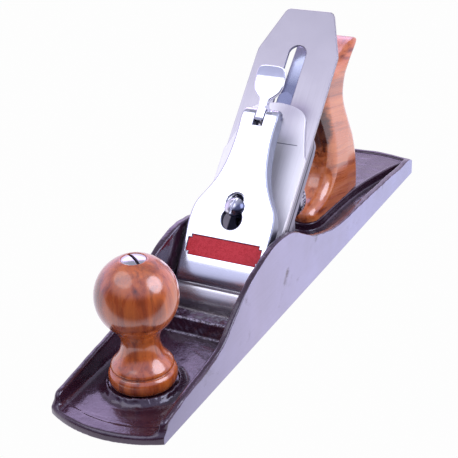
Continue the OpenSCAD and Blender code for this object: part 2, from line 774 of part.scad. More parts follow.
module front_knob() {
    ball = [for (p = arc(knob_r, -45, 71.4, 18)) [p[0], p[1] + knob_ball_z]];
    pocket_z = knob_ball_z + knob_r * cos(asin(nut_pocket_r / knob_r));
    color(hardwood)
    translate([0, knob_y, knob_seat_z + slide_gap]) difference() {
        rotate_extrude($fn = 160) polygon(concat([[rod_r + 0.3, 0]], smooth(knob_foot_knots, 4),
            smooth(knob_neck_knots, 4), ball, [[nut_pocket_r, pocket_z], [nut_pocket_r, pocket_z - 3.6],
            [rod_r + 0.3, pocket_z - 3.6]]));
        translate([0, 0, 48]) cylinder(r = 4.7, h = 30, $fn = 64);
    }
}

module knob_rod() {
    color(steel)
    translate([0, knob_y, 2]) cylinder(r = rod_r, h = 66, $fn = 48);
}

module rod_nut(slot_turn) {
    difference() {
        union() {
            translate([0, 0, -16]) cylinder(r = 4.4, h = 16.5, $fn = 48);
            intersection() {
                cylinder(r = 6.2, h = 3.4, $fn = 96);
                translate([0, 0, -14.4]) sphere(r = 17.6, $fn = 160);
            }
        }
        translate([0, 0, -20]) cylinder(r = rod_r + run_gap, h = 19, $fn = 48);
        translate([0, 0, 3.2]) driver_slot(20, 1.5, 1.8, slot_turn);
    }
}

module knob_nut() {
    color(bright)
    translate([0, knob_y, knob_seat_z + knob_ball_z + knob_r - 4.3]) rod_nut(-35);
}

// ---- Tote ----

module tote_rod_place() {
    translate([0, tote_foot_y, platform_z]) rotate([tote_lean, 0, 0]) children();
}

module tote_view() {
    polygon(concat([[56, platform_z + slide_gap]], smooth(tote_front_knots, curve_steps),
        smooth(tote_rear_knots, curve_steps), [[124, platform_z + slide_gap]]));
}

module tote_plan() {
    polygon([[-8, 50], [8, 50], [9.6, 62], [tote_half_w - 1, 85], [tote_half_w, 105],
        [tote_half_w, 130], [-tote_half_w, 130], [-tote_half_w, 105], [1 - tote_half_w, 85],
        [-9.6, 62]]);
}

module tote() {
    color(hardwood)
    difference() {
        intersection() {
            union() {
                across(-6.5, 6.5) tote_view();
                across(1.5 - tote_half_w, tote_half_w - 1.5) offset(delta = -1.6) tote_view();
                across(-tote_half_w, tote_half_w) offset(delta = -4) tote_view();
                across(1 - tote_half_w, tote_half_w - 1) polygon([[57, platform_z + slide_gap],
                    [57, 13], [124, 13], [124, platform_z + slide_gap]]);
            }
            linear_extrude(120) tote_plan();
        }
        tote_rod_place() {
            translate([0, 0, -10]) cylinder(r = rod_r + 0.4, h = 120, $fn = 48);
            translate([0, 0, 75]) cylinder(r = 4.7, h = 40, $fn = 48);
            translate([0, 0, tote_nut_up - 0.05]) cylinder(r = nut_pocket_r, h = 20, $fn = 64);
        }
    }
}

module tote_rod() {
    color(steel)
    tote_rod_place() translate([0, 0, -4]) cylinder(r = rod_r, h = 95, $fn = 48);
}

module tote_nut() {
    color(bright)
    tote_rod_place() translate([0, 0, tote_nut_up]) rod_nut(20);
}

body_casting();
frog();
frog_screws();
frog_washers();
frog_adjusting_screw();
frog_adjusting_plate();
frog_plate_screw();
yoke_lever();
yoke_pin();
depth_adjuster_stud();
depth_wheel_hub();
depth_wheel();
lateral_lever();
lateral_lever_rivet();
lateral_disc();
lateral_disc_rivet();
lever_cap_screw();
lever_cap();
lever_cap_badge();
lever_cap_spring();
spring_rivet();
cam_lever();
cam_pin();
cutting_iron();
cap_iron();
cap_iron_screw();
front_knob();
knob_rod();
knob_nut();
tote();
tote_rod();
tote_nut();
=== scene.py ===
import itertools
import math
import random

import bpy
import numpy as np
from mathutils import Matrix, Vector


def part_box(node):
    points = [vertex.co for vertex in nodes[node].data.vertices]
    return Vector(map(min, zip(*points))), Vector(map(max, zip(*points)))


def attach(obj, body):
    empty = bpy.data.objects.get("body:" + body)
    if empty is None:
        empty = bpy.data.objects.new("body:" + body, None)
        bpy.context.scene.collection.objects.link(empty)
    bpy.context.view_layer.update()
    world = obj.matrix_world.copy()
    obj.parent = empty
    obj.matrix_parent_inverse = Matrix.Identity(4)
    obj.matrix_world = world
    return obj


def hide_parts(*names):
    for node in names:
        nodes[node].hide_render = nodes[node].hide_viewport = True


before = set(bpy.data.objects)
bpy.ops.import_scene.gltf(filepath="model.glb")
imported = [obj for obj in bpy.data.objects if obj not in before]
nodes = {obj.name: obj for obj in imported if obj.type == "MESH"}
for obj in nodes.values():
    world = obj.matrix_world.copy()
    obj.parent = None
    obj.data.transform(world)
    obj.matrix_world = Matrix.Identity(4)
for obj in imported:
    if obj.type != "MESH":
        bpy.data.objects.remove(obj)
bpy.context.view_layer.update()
random.seed(7)

MM = 0.001
ROOT2 = math.sqrt(0.5)

# Main sizes, in millimetres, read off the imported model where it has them
casting_low, casting_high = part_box("body_casting")
HALF_W = casting_high.x / MM
TOE_Y = casting_low.y / MM
HEEL_Y = casting_high.y / MM
WALL = 3.9
INNER = HALF_W - WALL
SOLE_T = 4.0
BED_Y = -59.8
MOUTH_FRONT = BED_Y - 5.2
TOE_SAGITTA = 8.6
HEEL_SAGITTA = 5.6
KNOB_Y = -134.3
KNOB_SEAT = 6.0
PLATFORM_Z = 9.0
TOTE_FOOT_Y = 112.0
TOTE_LEAN = math.radians(20)
CLAMP_S = 60.5
wheel_low, wheel_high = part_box("depth_wheel")
WHEEL_Y = (wheel_low.y + wheel_high.y) / 2 / MM
WHEEL_Z = (wheel_low.z + wheel_high.z) / 2 / MM
CAM_S, CAM_H = 116.2, 19.2
CAM_SLOT_FOOT = 108.2
CAM_SLOT_HALF = 2.8
CAM_STEM_HALF = 2.55
PIN_HOLE_R = 1.63
ROD_HOLE_R = 3.03
SPRING_RIVET_S = 87
IRON_T = 2.0

BED = Matrix.Translation((0, BED_Y * MM, 0)) @ Matrix.Rotation(math.radians(45), 4, "X")


# ---- Curves and distances ----

def smooth(knots, steps):
    """A Catmull-Rom curve through the knots."""
    k = np.array(knots, float)
    out = []
    last = len(k) - 1
    for i in range(last):
        a, b, c, d = k[max(i - 1, 0)], k[i], k[i + 1], k[min(i + 2, last)]
        for j in range(steps):
            t = j / steps
            out.append(0.5 * (2 * b + (c - a) * t + (2 * a - 5 * b + 4 * c - d) * t * t
                              + (3 * b - a - 3 * c + d) * t ** 3))
    out.append(k[last])
    return np.array(out)


def mirrored(points):
    p = np.array(points, float)
    return np.vstack([p, (p * [-1, 1])[::-1]])


def outline_distance(points, u, v):
    """Signed distance to a closed outline, negative inside; u and v broadcast together."""
    p = np.array(points, float)
    u, v = np.broadcast_arrays(u, v)
    best = np.full(u.shape, 1e9)
    inside = np.zeros(u.shape, bool)
    for (ax, ay), (bx, by) in zip(p, np.roll(p, -1, axis=0)):
        ex, ey = bx - ax, by - ay
        length = ex * ex + ey * ey
        if length < 1e-12:
            continue
        t = np.clip(((u - ax) * ex + (v - ay) * ey) / length, 0, 1)
        best = np.minimum(best, (u - ax - t * ex) ** 2 + (v - ay - t * ey) ** 2)
        if ay != by:
            crosses = (ay > v) != (by > v)
            inside ^= crosses & (u < ax + (v - ay) * ex / ey)
    return np.where(inside, -1.0, 1.0) * np.sqrt(best)


def both(a, b, r):
    """Where both hold, with the crease between them rounded to about r."""
    h = np.maximum(r - np.abs(a - b), 0) / r
    return np.maximum(a, b) + h * h * r * 0.25


def either(a, b, r):
    """Where either holds, with a fillet of about r."""
    h = np.maximum(r - np.abs(a - b), 0) / r
    return np.minimum(a, b) - h * h * r * 0.25


def between(u, places, values):
    """Straight-line steps from value to value as u passes the places."""
    return np.interp(u.ravel(), places, values).reshape(u.shape)


def ripple(x, y, z, wave, seed):
    """Slow unevenness of a casting, about -1 to 1."""
    rng = random.Random(seed)
    total = 0
    for _ in range(7):
        kx, ky, kz = (rng.uniform(-1, 1) * 2 * math.pi / wave for _ in range(3))
        total = total + np.sin(kx * x + ky * y + kz * z + rng.uniform(0, 6.3))
    return total / 3.5


# ---- Meshes ----

def new_object(name, verts, faces, place=None, smooth_shade=True):
    mesh = bpy.data.meshes.new(name)
    mesh.from_pydata([tuple(v) for v in verts], [], [tuple(f) for f in faces])
    return finish_mesh(name, mesh, place, smooth_shade)


def finish_mesh(name, mesh, place, smooth_shade):
    if place is not None:
        mesh.transform(place)
    mesh.polygons.foreach_set("use_smooth", [smooth_shade] * len(mesh.polygons))
    mesh.update()
    obj = bpy.data.objects.new(name, mesh)
    bpy.context.scene.collection.objects.link(obj)
    return obj


def gradient(field, p, e=0.02):
    """Slope of the field at the points, from four samples round each."""
    total = np.zeros_like(p)
    for corner in ((1, -1, -1), (-1, -1, 1), (-1, 1, -1), (1, 1, 1)):
        k = np.array(corner, float)
        total += k * field(*(p + k * e).T)[:, None]
    return total / (4 * e)


def net(name, field, low, high, step, place=None, polish=False):
    """The surface where field(x, y, z) is 0, in millimetres, as a quad net of about that step."""
    axes = [np.arange(a, b + step, step) for a, b in zip(low, high)]
    x, y, z = np.meshgrid(*axes, indexing="ij", sparse=True)
    value = np.ascontiguousarray(np.broadcast_to(field(x, y, z), [len(a) for a in axes]))
    inside = value < 0
    n = np.array(inside.shape)
    corners = list(itertools.product((0, 1), repeat=3))
    some = np.zeros(n - 1, bool)
    full = np.ones(n - 1, bool)
    for i, j, k in corners:
        part = inside[i:n[0] - 1 + i, j:n[1] - 1 + j, k:n[2] - 1 + k]
        some |= part
        full &= part
    cells = np.argwhere(some & ~full)
    number = np.full(some.shape, -1, np.int64)
    number[tuple(cells.T)] = np.arange(len(cells))
    held = {c: value[tuple((cells + c).T)] for c in corners}
    total = np.zeros((len(cells), 3))
    count = np.zeros(len(cells))
    for a in corners:
        for axis in range(3):
            if a[axis]:
                continue
            b = tuple(v + (i == axis) for i, v in enumerate(a))
            va, vb = held[a], held[b]
            hit = (va < 0) != (vb < 0)
            t = np.where(hit, va / np.where(hit, va - vb, 1), 0)
            point = np.tile(np.array(a, float), (len(cells), 1))
            point[:, axis] += t
            total += point * hit[:, None]
            count += hit
    verts = np.array([a[0] for a in axes]) + step * (cells + total / count[:, None])
    if polish:
        slope = gradient(field, verts)
        reach = field(*verts.T) / np.maximum((slope * slope).sum(1), 0.25)
        verts -= slope * np.clip(reach, -step / 3, step / 3)[:, None]
        normals = gradient(field, verts)
    quads = []
    for axis in range(3):
        b, c = (axis + 1) % 3, (axis + 2) % 3
        lo, hi = [slice(1, -1)] * 3, [slice(1, -1)] * 3
        lo[axis], hi[axis] = slice(0, -1), slice(1, None)
        start, end = inside[tuple(lo)], inside[tuple(hi)]
        at = np.argwhere(start != end)
        outward = start[tuple(at.T)]
        at[:, b] += 1
        at[:, c] += 1
        ring = []
        for db, dc in ((-1, -1), (0, -1), (0, 0), (-1, 0)):
            cell = at.copy()
            cell[:, b] += db
            cell[:, c] += dc
            ring.append(number[tuple(cell.T)])
        ring = np.array(ring).T
        ring[~outward] = ring[~outward][:, ::-1]
        quads.append(ring)
    quads = np.vstack(quads)
    mesh = bpy.data.meshes.new(name)
    mesh.vertices.add(len(verts))
    mesh.vertices.foreach_set("co", (verts * MM).ravel())
    mesh.loops.add(quads.size)
    mesh.loops.foreach_set("vertex_index", quads.ravel())
    mesh.polygons.add(len(quads))
    mesh.polygons.foreach_set("loop_start", np.arange(0, quads.size, 4))
    mesh.update(calc_edges=True)
    obj = finish_mesh(name, mesh, place, True)
    if polish:
        turn = np.array((place or Matrix()).to_3x3())
        normals = normals @ turn.T
        normals /= np.maximum(np.linalg.norm(normals, axis=1), 1e-9)[:, None]
        mesh.normals_split_custom_set_from_vertices(normals.tolist())
    return obj


def lathe(name, profile, around, place):
    """Turns a closed or open (r, z) profile, in millimetres, about Z."""
    rings = len(profile)
    verts, faces = [], []
    for i in range(around):
        a = 2 * math.pi * i / around
        verts += [(r * math.cos(a) * MM, r * math.sin(a) * MM, z * MM) for r, z in profile]
    for i in range(around):
        j = (i + 1) % around
        for k in range(rings - 1):
            faces.append((i * rings + k, j * rings + k, j * rings + k + 1, i * rings + k + 1))
    return new_object(name, verts, faces, place)


# ---- Materials ----

class Paint:
    """A node material in the making; positions in it are in millimetres."""

    def __init__(self, name):
        self.material = bpy.data.materials.new(name)
        self.material.use_nodes = True
        self.tree = self.material.node_tree
        self.shader = self.tree.nodes["Principled BSDF"]
        self.position = self.add("ShaderNodeTexCoord").outputs["Object"]

    def add(self, kind, **values):
        made = self.tree.nodes.new(kind)
        for key, value in values.items():
            setattr(made, key, value)
        return made

    def put(self, socket, value):
        if isinstance(value, bpy.types.NodeSocket):
            self.tree.links.new(value, socket)
        else:
            socket.default_value = value

    def set(self, shader=None, **values):
        for key, value in values.items():
            self.put((shader or self.shader).inputs[key.replace("_", " ")], value)

    def spread(self, scale, turn=(0, 0, 0)):
        """Position in millimetres times scale, after a turn."""
        turned = self.add("ShaderNodeMapping")
        self.put(turned.inputs["Vector"], self.position)
        turned.inputs["Rotation"].default_value = turn
        grown = self.add("ShaderNodeVectorMath", operation="MULTIPLY")
        self.put(grown.inputs[0], turned.outputs[0])
        grown.inputs[1].default_value = [1000 * s for s in scale]
        return grown.outputs[0]

    def noise(self, where, scale=1.0, detail=3.0, rough=0.5, twist=0.0):
        made = self.add("ShaderNodeTexNoise")
        self.put(made.inputs["Vector"], where)
        made.inputs["Scale"].default_value = scale
        made.inputs["Detail"].default_value = detail
        made.inputs["Roughness"].default_value = rough
        made.inputs["Distortion"].default_value = twist
        return made.outputs["Fac"]

    def cells(self, where, scale):
        made = self.add("ShaderNodeTexVoronoi")
        self.put(made.inputs["Vector"], where)
        made.inputs["Scale"].default_value = scale
        return made.outputs["Distance"]

    def remap(self, value, low, high, to_low=0.0, to_high=1.0):
        made = self.add("ShaderNodeMapRange", clamp=True)
        for socket, item in zip(made.inputs, (value, low, high, to_low, to_high)):
            self.put(socket, item)
        return made.outputs["Result"]

    def math(self, operation, a, b=0.0):
        made = self.add("ShaderNodeMath", operation=operation)
        self.put(made.inputs[0], a)
        self.put(made.inputs[1], b)
        return made.outputs[0]

    def ramp(self, value, *stops):
        made = self.add("ShaderNodeValToRGB")
        self.put(made.inputs["Fac"], value)
        items = made.color_ramp.elements
        while len(items) < len(stops):
            items.new(0.5)
        for item, (place, colour) in zip(items, stops):
            item.position = place
            item.color = (*colour, 1)
        return made.outputs["Color"]

    def blend(self, share, a, b):
        made = self.add("ShaderNodeMix", data_type="RGBA")
        self.put(made.inputs["Factor"], share)
        for socket, colour in ((made.inputs[6], a), (made.inputs[7], b)):
            self.put(socket, colour if isinstance(colour, bpy.types.NodeSocket) else (*colour, 1))
        return made.outputs[2]

    def bump(self, height, depth_mm, strength=1.0, below=None):
        made = self.add("ShaderNodeBump")
        made.inputs["Strength"].default_value = strength
        made.inputs["Distance"].default_value = depth_mm * MM
        self.put(made.inputs["Height"], height)
        if below is not None:
            self.put(made.inputs["Normal"], below)
        return made.outputs["Normal"]

    def axes(self):
        made = self.add("ShaderNodeSeparateXYZ")
        self.put(made.inputs[0], self.spread((1, 1, 1)))
        return made.outputs

    def on_bed(self):
        """X, the distance up the bed and the height above it, in millimetres."""
        x, y, z = self.axes()
        ahead = self.math("SUBTRACT", y, BED_Y)
        up = self.math("MULTIPLY", self.math("ADD", ahead, z), ROOT2)
        off = self.math("MULTIPLY", self.math("SUBTRACT", z, ahead), ROOT2)
        return x, up, off

    def near(self, value, middle, reach, soft):
        """1 where the value is within reach of the middle, falling to 0 over soft."""
        off = self.math("ABSOLUTE", self.math("SUBTRACT", value, middle))
        return self.remap(off, reach + soft, reach)

    def facing(self, axis):
        """How squarely the surface faces along an axis, either way."""
        made = self.add("ShaderNodeSeparateXYZ")
        self.put(made.inputs[0], self.add("ShaderNodeNewGeometry").outputs["Normal"])
        return self.math("ABSOLUTE", made.outputs[axis])

    def lay(self, share, colour):
        """Covers the base colour with another by the share."""
        socket = self.shader.inputs["Base Color"]
        self.put(socket, self.blend(share, socket.links[0].from_socket, colour))

    def shade(self, low, high, dark):
        """Painted shade: goes from the dark colour at low on the bed to the full colour at high."""
        self.lay(self.remap(self.on_bed()[1], low, high, 1.0, 0.0), dark)


def casting_paint():
    """Gloss maroon enamel, with ground iron on the sole and the outer cheek faces."""
    p = Paint("casting_enamel")
    mm = p.spread((1, 1, 1))
    x, y, z = p.axes()
    patch = p.noise(mm, 0.035, 3, 0.55)
    peel = p.noise(mm, 0.55, 2, 0.5, 0.6)
    grit = p.noise(mm, 2.6, 2, 0.6)
    waves = p.noise(mm, 0.16, 2, 0.5, 0.8)
    speck = p.remap(p.cells(mm, 0.33), 0.05, 0.16, 1.0, 0.0)
    colour = p.ramp(patch, (0.3, (0.026, 0.0075, 0.016)), (0.7, (0.042, 0.012, 0.026)))
    colour = p.blend(p.remap(grit, 0.62, 0.75, 0.0, 0.25), colour, (0.075, 0.035, 0.065))
    # Light specks along the rib's top edge and foot: worn paint, and a painted highlight on these
    # edges
    rib_top = p.math("MULTIPLY", p.near(y, -80.3, 0.5, 0.4), p.near(z, 11.9, 0.7, 0.3))
    rib_foot = p.math("MULTIPLY", p.near(y, -84.2, 0.3, 0.4), p.near(z, 4.8, 0.7, 0.4))
    scuff_and_highlight = p.math("MULTIPLY", p.math("MAXIMUM", rib_top, rib_foot),
                     p.remap(p.noise(mm, 0.9, 3, 0.7), 0.46, 0.58))
    colour = p.blend(scuff_and_highlight, colour, (0.42, 0.37, 0.46))
    normal = p.bump(waves, 0.9, 0.35)
    normal = p.bump(peel, 0.20, 0.60, normal)
    normal = p.bump(p.math("ADD", grit, speck), 0.02, 0.5, normal)
    p.set(Base_Color=colour, Roughness=p.remap(p.noise(mm, 0.2, 3), 0.3, 0.7, 0.16, 0.30),
          IOR=1.62, Normal=normal)
    p.set(Coat_Weight=0.6, Coat_Roughness=0.09, Specular_Tint=(0.86, 0.82, 1.0, 1))

    iron = p.add("ShaderNodeBsdfPrincipled")
    lines = p.noise(p.spread((1, 0.02, 1)), 2.4, 3, 0.6)
    mottle = p.noise(mm, 0.05, 4, 0.6)
    pits = p.remap(p.cells(mm, 0.075), 0.018, 0.034, 0.55, 1.0)
    # Painted reflection: the ground iron gets lighter and bluer from toe to heel, standing in for
    # the bluer light from behind
    tone = p.ramp(p.remap(y, TOE_Y, HEEL_Y), (0.05, (0.36, 0.34, 0.44)),
                  (0.3, (0.55, 0.52, 0.65)), (0.95, (0.56, 0.575, 0.77)))
    worn = p.math("ADD", p.math("MULTIPLY", lines, 0.35), p.math("MULTIPLY", mottle, 0.65))
    tone = p.blend(p.remap(worn, 0.35, 0.65, 0.28, 0.0), tone, (0.25, 0.23, 0.31))
    tone = p.blend(pits, (0.16, 0.13, 0.16), tone)
    p.set(iron, Base_Color=tone, Metallic=0.85,
          Roughness=p.remap(mottle, 0.3, 0.7, 0.46, 0.60),
          Normal=p.bump(p.math("ADD", lines, p.math("MULTIPLY", grit, 0.6)), 0.02, 0.6))

    # The paint stops at the ground faces, with a slightly ragged edge
    edge = p.math("ADD", p.math("ABSOLUTE", x), p.remap(grit, 0.2, 0.8, -0.1, 0.1))
    side = p.remap(edge, HALF_W - 0.22, HALF_W - 0.12)
    under = p.remap(z, 0.30, 0.16)
    ground = p.math("MAXIMUM", side, under)
    mix = p.add("ShaderNodeMixShader")
    p.put(mix.inputs[0], ground)
    p.put(mix.inputs[1], p.shader.outputs[0])
    p.put(mix.inputs[2], iron.outputs[0])
    p.put(p.tree.nodes["Material Output"].inputs["Surface"], mix.outputs[0])
    return p.material


def metal(name, colour, rough, lines=0.0, line_axis=(1, 1, 1), turn=(0, 0, 0), depth=0.01,
          smear=0.08, shade=0.82):
    """Bare or plated metal with fine lines along one axis, faint smears and a few tiny marks."""
    p = Paint(name)
    mm = p.spread((1, 1, 1))
    line = p.noise(p.spread(line_axis, turn), 3.0, 3, 0.65)
    cloud = p.noise(mm, 0.06, 3, 0.55)
    fine = p.noise(mm, 1.4, 2, 0.5)
    marks = p.remap(p.cells(mm, 0.12), 0.012, 0.03, 0.35, 0.0)
    dark = [c * shade for c in colour]
    base = p.blend(p.remap(cloud, 0.3, 0.7), dark, colour)
    base = p.blend(p.remap(line, 0.35, 0.75, 0.0, lines), base, [c * 0.72 for c in colour])
    base = p.blend(marks, base, [c * 0.45 for c in colour])
    wear = p.math("ADD", p.math("MULTIPLY", cloud, 0.6), p.math("MULTIPLY", fine, 0.4))
    p.set(Base_Color=base, Metallic=1.0,
          Roughness=p.remap(wear, 0.35, 0.65, rough, rough + smear),
          Normal=p.bump(p.math("ADD", p.math("MULTIPLY", line, 1.0),
                               p.math("MULTIPLY", fine, 0.3)), depth, 0.5))
    return p


def wood(name, stretch, turn, dark, mid, light, coat_rough=0.10, dark_heart_and_shade=None):
    """Gloss varnished hardwood; stretch draws the grain out along one axis.

    The last argument gives the middle (y, z) and the half width and height of a dark patch: dark
    heartwood, and painted shade where the iron shades the tote.
    """
    p = Paint(name)
    warp = p.noise(p.spread([a * 0.6 for a in stretch], turn), 0.10, 2, 0.5)
    where = p.spread(stretch, turn)
    shifted = p.add("ShaderNodeVectorMath", operation="ADD")
    p.put(shifted.inputs[0], where)
    lift = p.add("ShaderNodeVectorMath", operation="SCALE")
    p.put(lift.inputs[0], warp)
    lift.inputs["Scale"].default_value = 6.0
    p.put(shifted.inputs[1], lift.outputs[0])
    where = shifted.outputs[0]
    figure = p.noise(where, 0.075, 2, 0.45, 0.3)
    streak = p.noise(where, 0.30, 3, 0.5, 0.3)
    pores = p.noise(p.spread([a if a < 0.5 else a * 2.4 for a in stretch], turn), 1.5, 2, 0.7)
    tone = p.math("ADD", p.math("MULTIPLY", figure, 0.55), p.math("MULTIPLY", streak, 0.45))
    colour = p.ramp(tone, (0.34, dark), (0.46, mid), (0.60, light), (0.74, mid))
    deep = p.remap(p.noise(where, 0.13, 3, 0.55, 0.8), 0.54, 0.68, 0.0, 0.55)
    colour = p.blend(deep, colour, dark)
    colour = p.blend(p.remap(pores, 0.60, 0.78, 0.0, 0.22), colour, [c * 0.45 for c in dark])
    # A dark patch, partly heartwood and partly painted shade
    if dark_heart_and_shade:
        _, y, z = p.axes()
        cy, cz, half_y, half_z = dark_heart_and_shade
        ry = p.math("DIVIDE", p.math("SUBTRACT", y, cy), half_y)
        rz = p.math("DIVIDE", p.math("SUBTRACT", z, cz), half_z)
        rim = p.math("ADD", p.math("MULTIPLY", ry, ry), p.math("MULTIPLY", rz, rz))
        rim = p.math("ADD", rim, p.math("MULTIPLY", p.math("SUBTRACT", streak, 0.5), 1.2))
        colour = p.blend(p.remap(rim, 1.25, 0.75, 0.0, 0.85), colour, (0.035, 0.008, 0.005))
    normal = p.bump(pores, 0.03, 0.25)
    normal = p.bump(p.noise(p.spread((1, 1, 1)), 0.12, 2), 0.5, 0.12, normal)
    p.set(Base_Color=colour, Roughness=p.remap(streak, 0.3, 0.7, 0.22, 0.34),
          Normal=normal, IOR=1.5)
    p.set(Coat_Weight=1.0, Coat_Roughness=coat_rough, Coat_IOR=1.75)
    return p.material


def red_paint():
    p = Paint("badge_red")
    mm = p.spread((1, 1, 1))
    dots = p.cells(mm, 1.35)
    colour = p.ramp(p.math("ADD", p.math("MULTIPLY", dots, 0.5), p.noise(mm, 0.5, 3)),
                    (0.35, (0.56, 0.012, 0.018)), (0.85, (0.74, 0.045, 0.060)))
    p.set(Base_Color=colour, Roughness=p.remap(p.noise(mm, 0.8, 2), 0.3, 0.7, 0.40, 0.55),
          Normal=p.bump(dots, 0.12, 0.8))
    p.shader.inputs["Specular IOR Level"].default_value = 0.3
    return p.material


# Stretch and turn that run a metal's fine lines up the 45 degree bed
LENGTHWISE = (0.5, 0.008, 0.5)
ON_BED = (math.radians(-45), 0, 0)
# Colours of painted shade in the lever cap's keyhole and slot, and on the irons seen through the
# keyhole
SLOT_SHADE = (0.022, 0.024, 0.042)
IRON_KEYHOLE_SHADE = (0.035, 0.037, 0.065)
# The lever cap's upper and lower faces as straight lines up the bed
CAP_FACE_RISE = 0.105
CAP_FACE_START = 12.94
CAP_BACK_RISE = 0.077


def keyhole_shade(p):
    """Painted shade on the irons where the lever cap's keyhole shows them."""
    across, up, _ = p.on_bed()
    p.lay(p.math("MULTIPLY", p.near(across, 0, 7.5, 0.8), p.near(up, CLAMP_S - 2.5, 16, 2)),
          IRON_KEYHOLE_SHADE)


def frog_casting():
    """Cast iron with painted shadow lines along its two edges under the irons."""
    p = metal("frog_casting", (0.40, 0.385, 0.46), 0.40, 0.3, depth=0.05)
    off = p.on_bed()[2]
    # Two painted shadow lines along the frog's sides, under the irons
    shadow_lines = p.math("MAXIMUM", p.near(off, -0.3, 0.45, 0.2), p.near(off, -3.6, 0.5, 0.3))
    p.lay(p.math("MULTIPLY", shadow_lines, p.remap(p.facing(0), 0.1, 0.4)), (0.03, 0.025, 0.04))
    return p.material


def cutting_iron_steel():
    """Ground steel, with painted shade darkening it towards its top end."""
    p = metal("cutting_iron_steel", (0.60, 0.57, 0.61), 0.30, 1.0, LENGTHWISE, ON_BED,
              depth=0.012, smear=0.06, shade=0.94)
    p.shade(160, 85, (0.40, 0.375, 0.42))
    keyhole_shade(p)
    return p.material


def cap_iron_steel():
    """Dull flat above its polished hump, with a line scribed across the right half."""
    p = metal("cap_iron_steel", (0.97, 0.94, 0.94), 0.17, 0.25, LENGTHWISE, ON_BED,
              depth=0.03, shade=0.97)
    across, up, _ = p.on_bed()
    line = p.math("MULTIPLY", p.near(up, 107, 0.12, 0.18), p.near(across, 12, 6.0, 0.6))
    p.lay(line, (0.12, 0.11, 0.14))
    keyhole_shade(p)
    flat = p.remap(up, 22, 30)
    crest = p.remap(up, 10.5, 14.5)
    p.set(Roughness=p.remap(flat, 0.0, 1.0, 0.24, 0.45),
          Metallic=p.math("SUBTRACT", p.remap(flat, 0.0, 1.0, 1.0, 0.95),
                          p.remap(crest, 0.0, 1.0, 0.0, 0.35)))
    return p.material


def lever_cap_plating():
    """Bright plating, rougher down the cap's sides, with painted shade on the sides and in its
    keyhole and slot, and a painted shadow along the sides' lower edges.
    """
    p = metal("lever_cap_plating", (0.88, 0.88, 0.95), 0.12, 0.12, LENGTHWISE, ON_BED,
              depth=0.003, smear=0.05, shade=0.96)
    across, up, off = p.on_bed()
    # Painted shade in the keyhole and the slot, below the cap's face
    face = p.math("ADD", p.math("MULTIPLY", up, CAP_FACE_RISE), CAP_FACE_START)
    sunk = p.remap(p.math("SUBTRACT", face, off), 0.9, 1.6)
    sunk = p.math("MULTIPLY", sunk, p.near(across, 0, 6.6, 0.6))
    sunk = p.math("MULTIPLY", sunk, p.near(up, 82, 34, 0.6))
    p.lay(sunk, SLOT_SHADE)
    # Painted shade on the cap's sideways-facing flanks
    flank = p.remap(p.facing(0), 0.35, 0.55)
    p.lay(p.math("MULTIPLY", flank, p.remap(up, 27, 34)), (0.34, 0.36, 0.43))
    # Painted shadow along the flanks' lower edges, over the gap to the cap iron
    over_back = p.math("SUBTRACT", off, p.math("MULTIPLY", up, CAP_BACK_RISE))
    p.lay(p.math("MULTIPLY", flank, p.remap(over_back, 7.6, 6.9)), (0.06, 0.06, 0.09))
    nose = p.remap(up, 34, 17)
    p.set(Roughness=p.math("ADD", p.remap(flank, 0.0, 1.0, 0.12, 0.40),
                           p.remap(nose, 0.0, 1.0, 0.0, 0.11)))
    return p.material


def screw_plating():
    """Plating with painted shade on the lower right of the screw's head."""
    p = metal("screw_plating", (0.84, 0.84, 0.90), 0.15, 0.1, depth=0.003)
    across, up, _ = p.on_bed()
    # Painted shade over the lower right of the head
    low_side = p.math("SUBTRACT", p.math("MULTIPLY", across, 0.85),
                      p.math("MULTIPLY", p.math("SUBTRACT", up, CLAMP_S), 0.5))
    p.lay(p.remap(low_side, 0.4, 2.6, 0.0, 0.9), (0.05, 0.06, 0.13))
    return p.material


def cam_plating():
    """Plating, with painted shade where the lever's foot sits in the cap's slot."""
    p = metal("cam_plating", (0.86, 0.86, 0.94), 0.10, 0.1, depth=0.003)
    _, up, off = p.on_bed()
    # Painted shade on the foot inside the cap's slot
    p.lay(p.math("MULTIPLY", p.remap(off, 23.6, 22.8), p.remap(up, 114.5, 113.5)), SLOT_SHADE)
    return p.material


def lateral_steel():
    """Plated steel, with painted shade from dark at the low end to bright at the thumb end."""
    p = metal("lateral_steel", (0.70, 0.74, 0.92), 0.24, 0.3, LENGTHWISE, ON_BED)
    p.shade(146, 162, (0.17, 0.18, 0.28))
    return p.material


def wheel_metal():
    """Turned metal, darker in the knurl's notches and in the groove round its rim."""
    p = metal("wheel_metal", (0.60, 0.58, 0.66), 0.20, 0.3, depth=0.008)
    across, along_y, height = p.axes()
    rise = p.math("SUBTRACT", height, WHEEL_Z)
    out = p.math("SQRT", p.math("ADD", p.math("MULTIPLY", across, across),
                                p.math("MULTIPLY", rise, rise)))
    notch = p.math("MULTIPLY", p.remap(out, 14.4, 14.1), p.near(along_y, WHEEL_Y, 3.0, 0.2))
    notch = p.math("MAXIMUM", notch, p.near(along_y, WHEEL_Y, 0.25, 0.15))
    notch = p.math("MULTIPLY", notch, p.remap(out, 12.6, 12.9))
    p.lay(notch, (0.05, 0.045, 0.06))
    return p.material


def nut_plating(shade_top_z):
    """Plating with a ring of painted shade below that height."""
    p = metal("nut_plating", (0.80, 0.79, 0.82), 0.12, 0.2, depth=0.004)
    p.lay(p.remap(p.axes()[2], shade_top_z + 0.3, shade_top_z), (0.03, 0.022, 0.025))
    return p.material


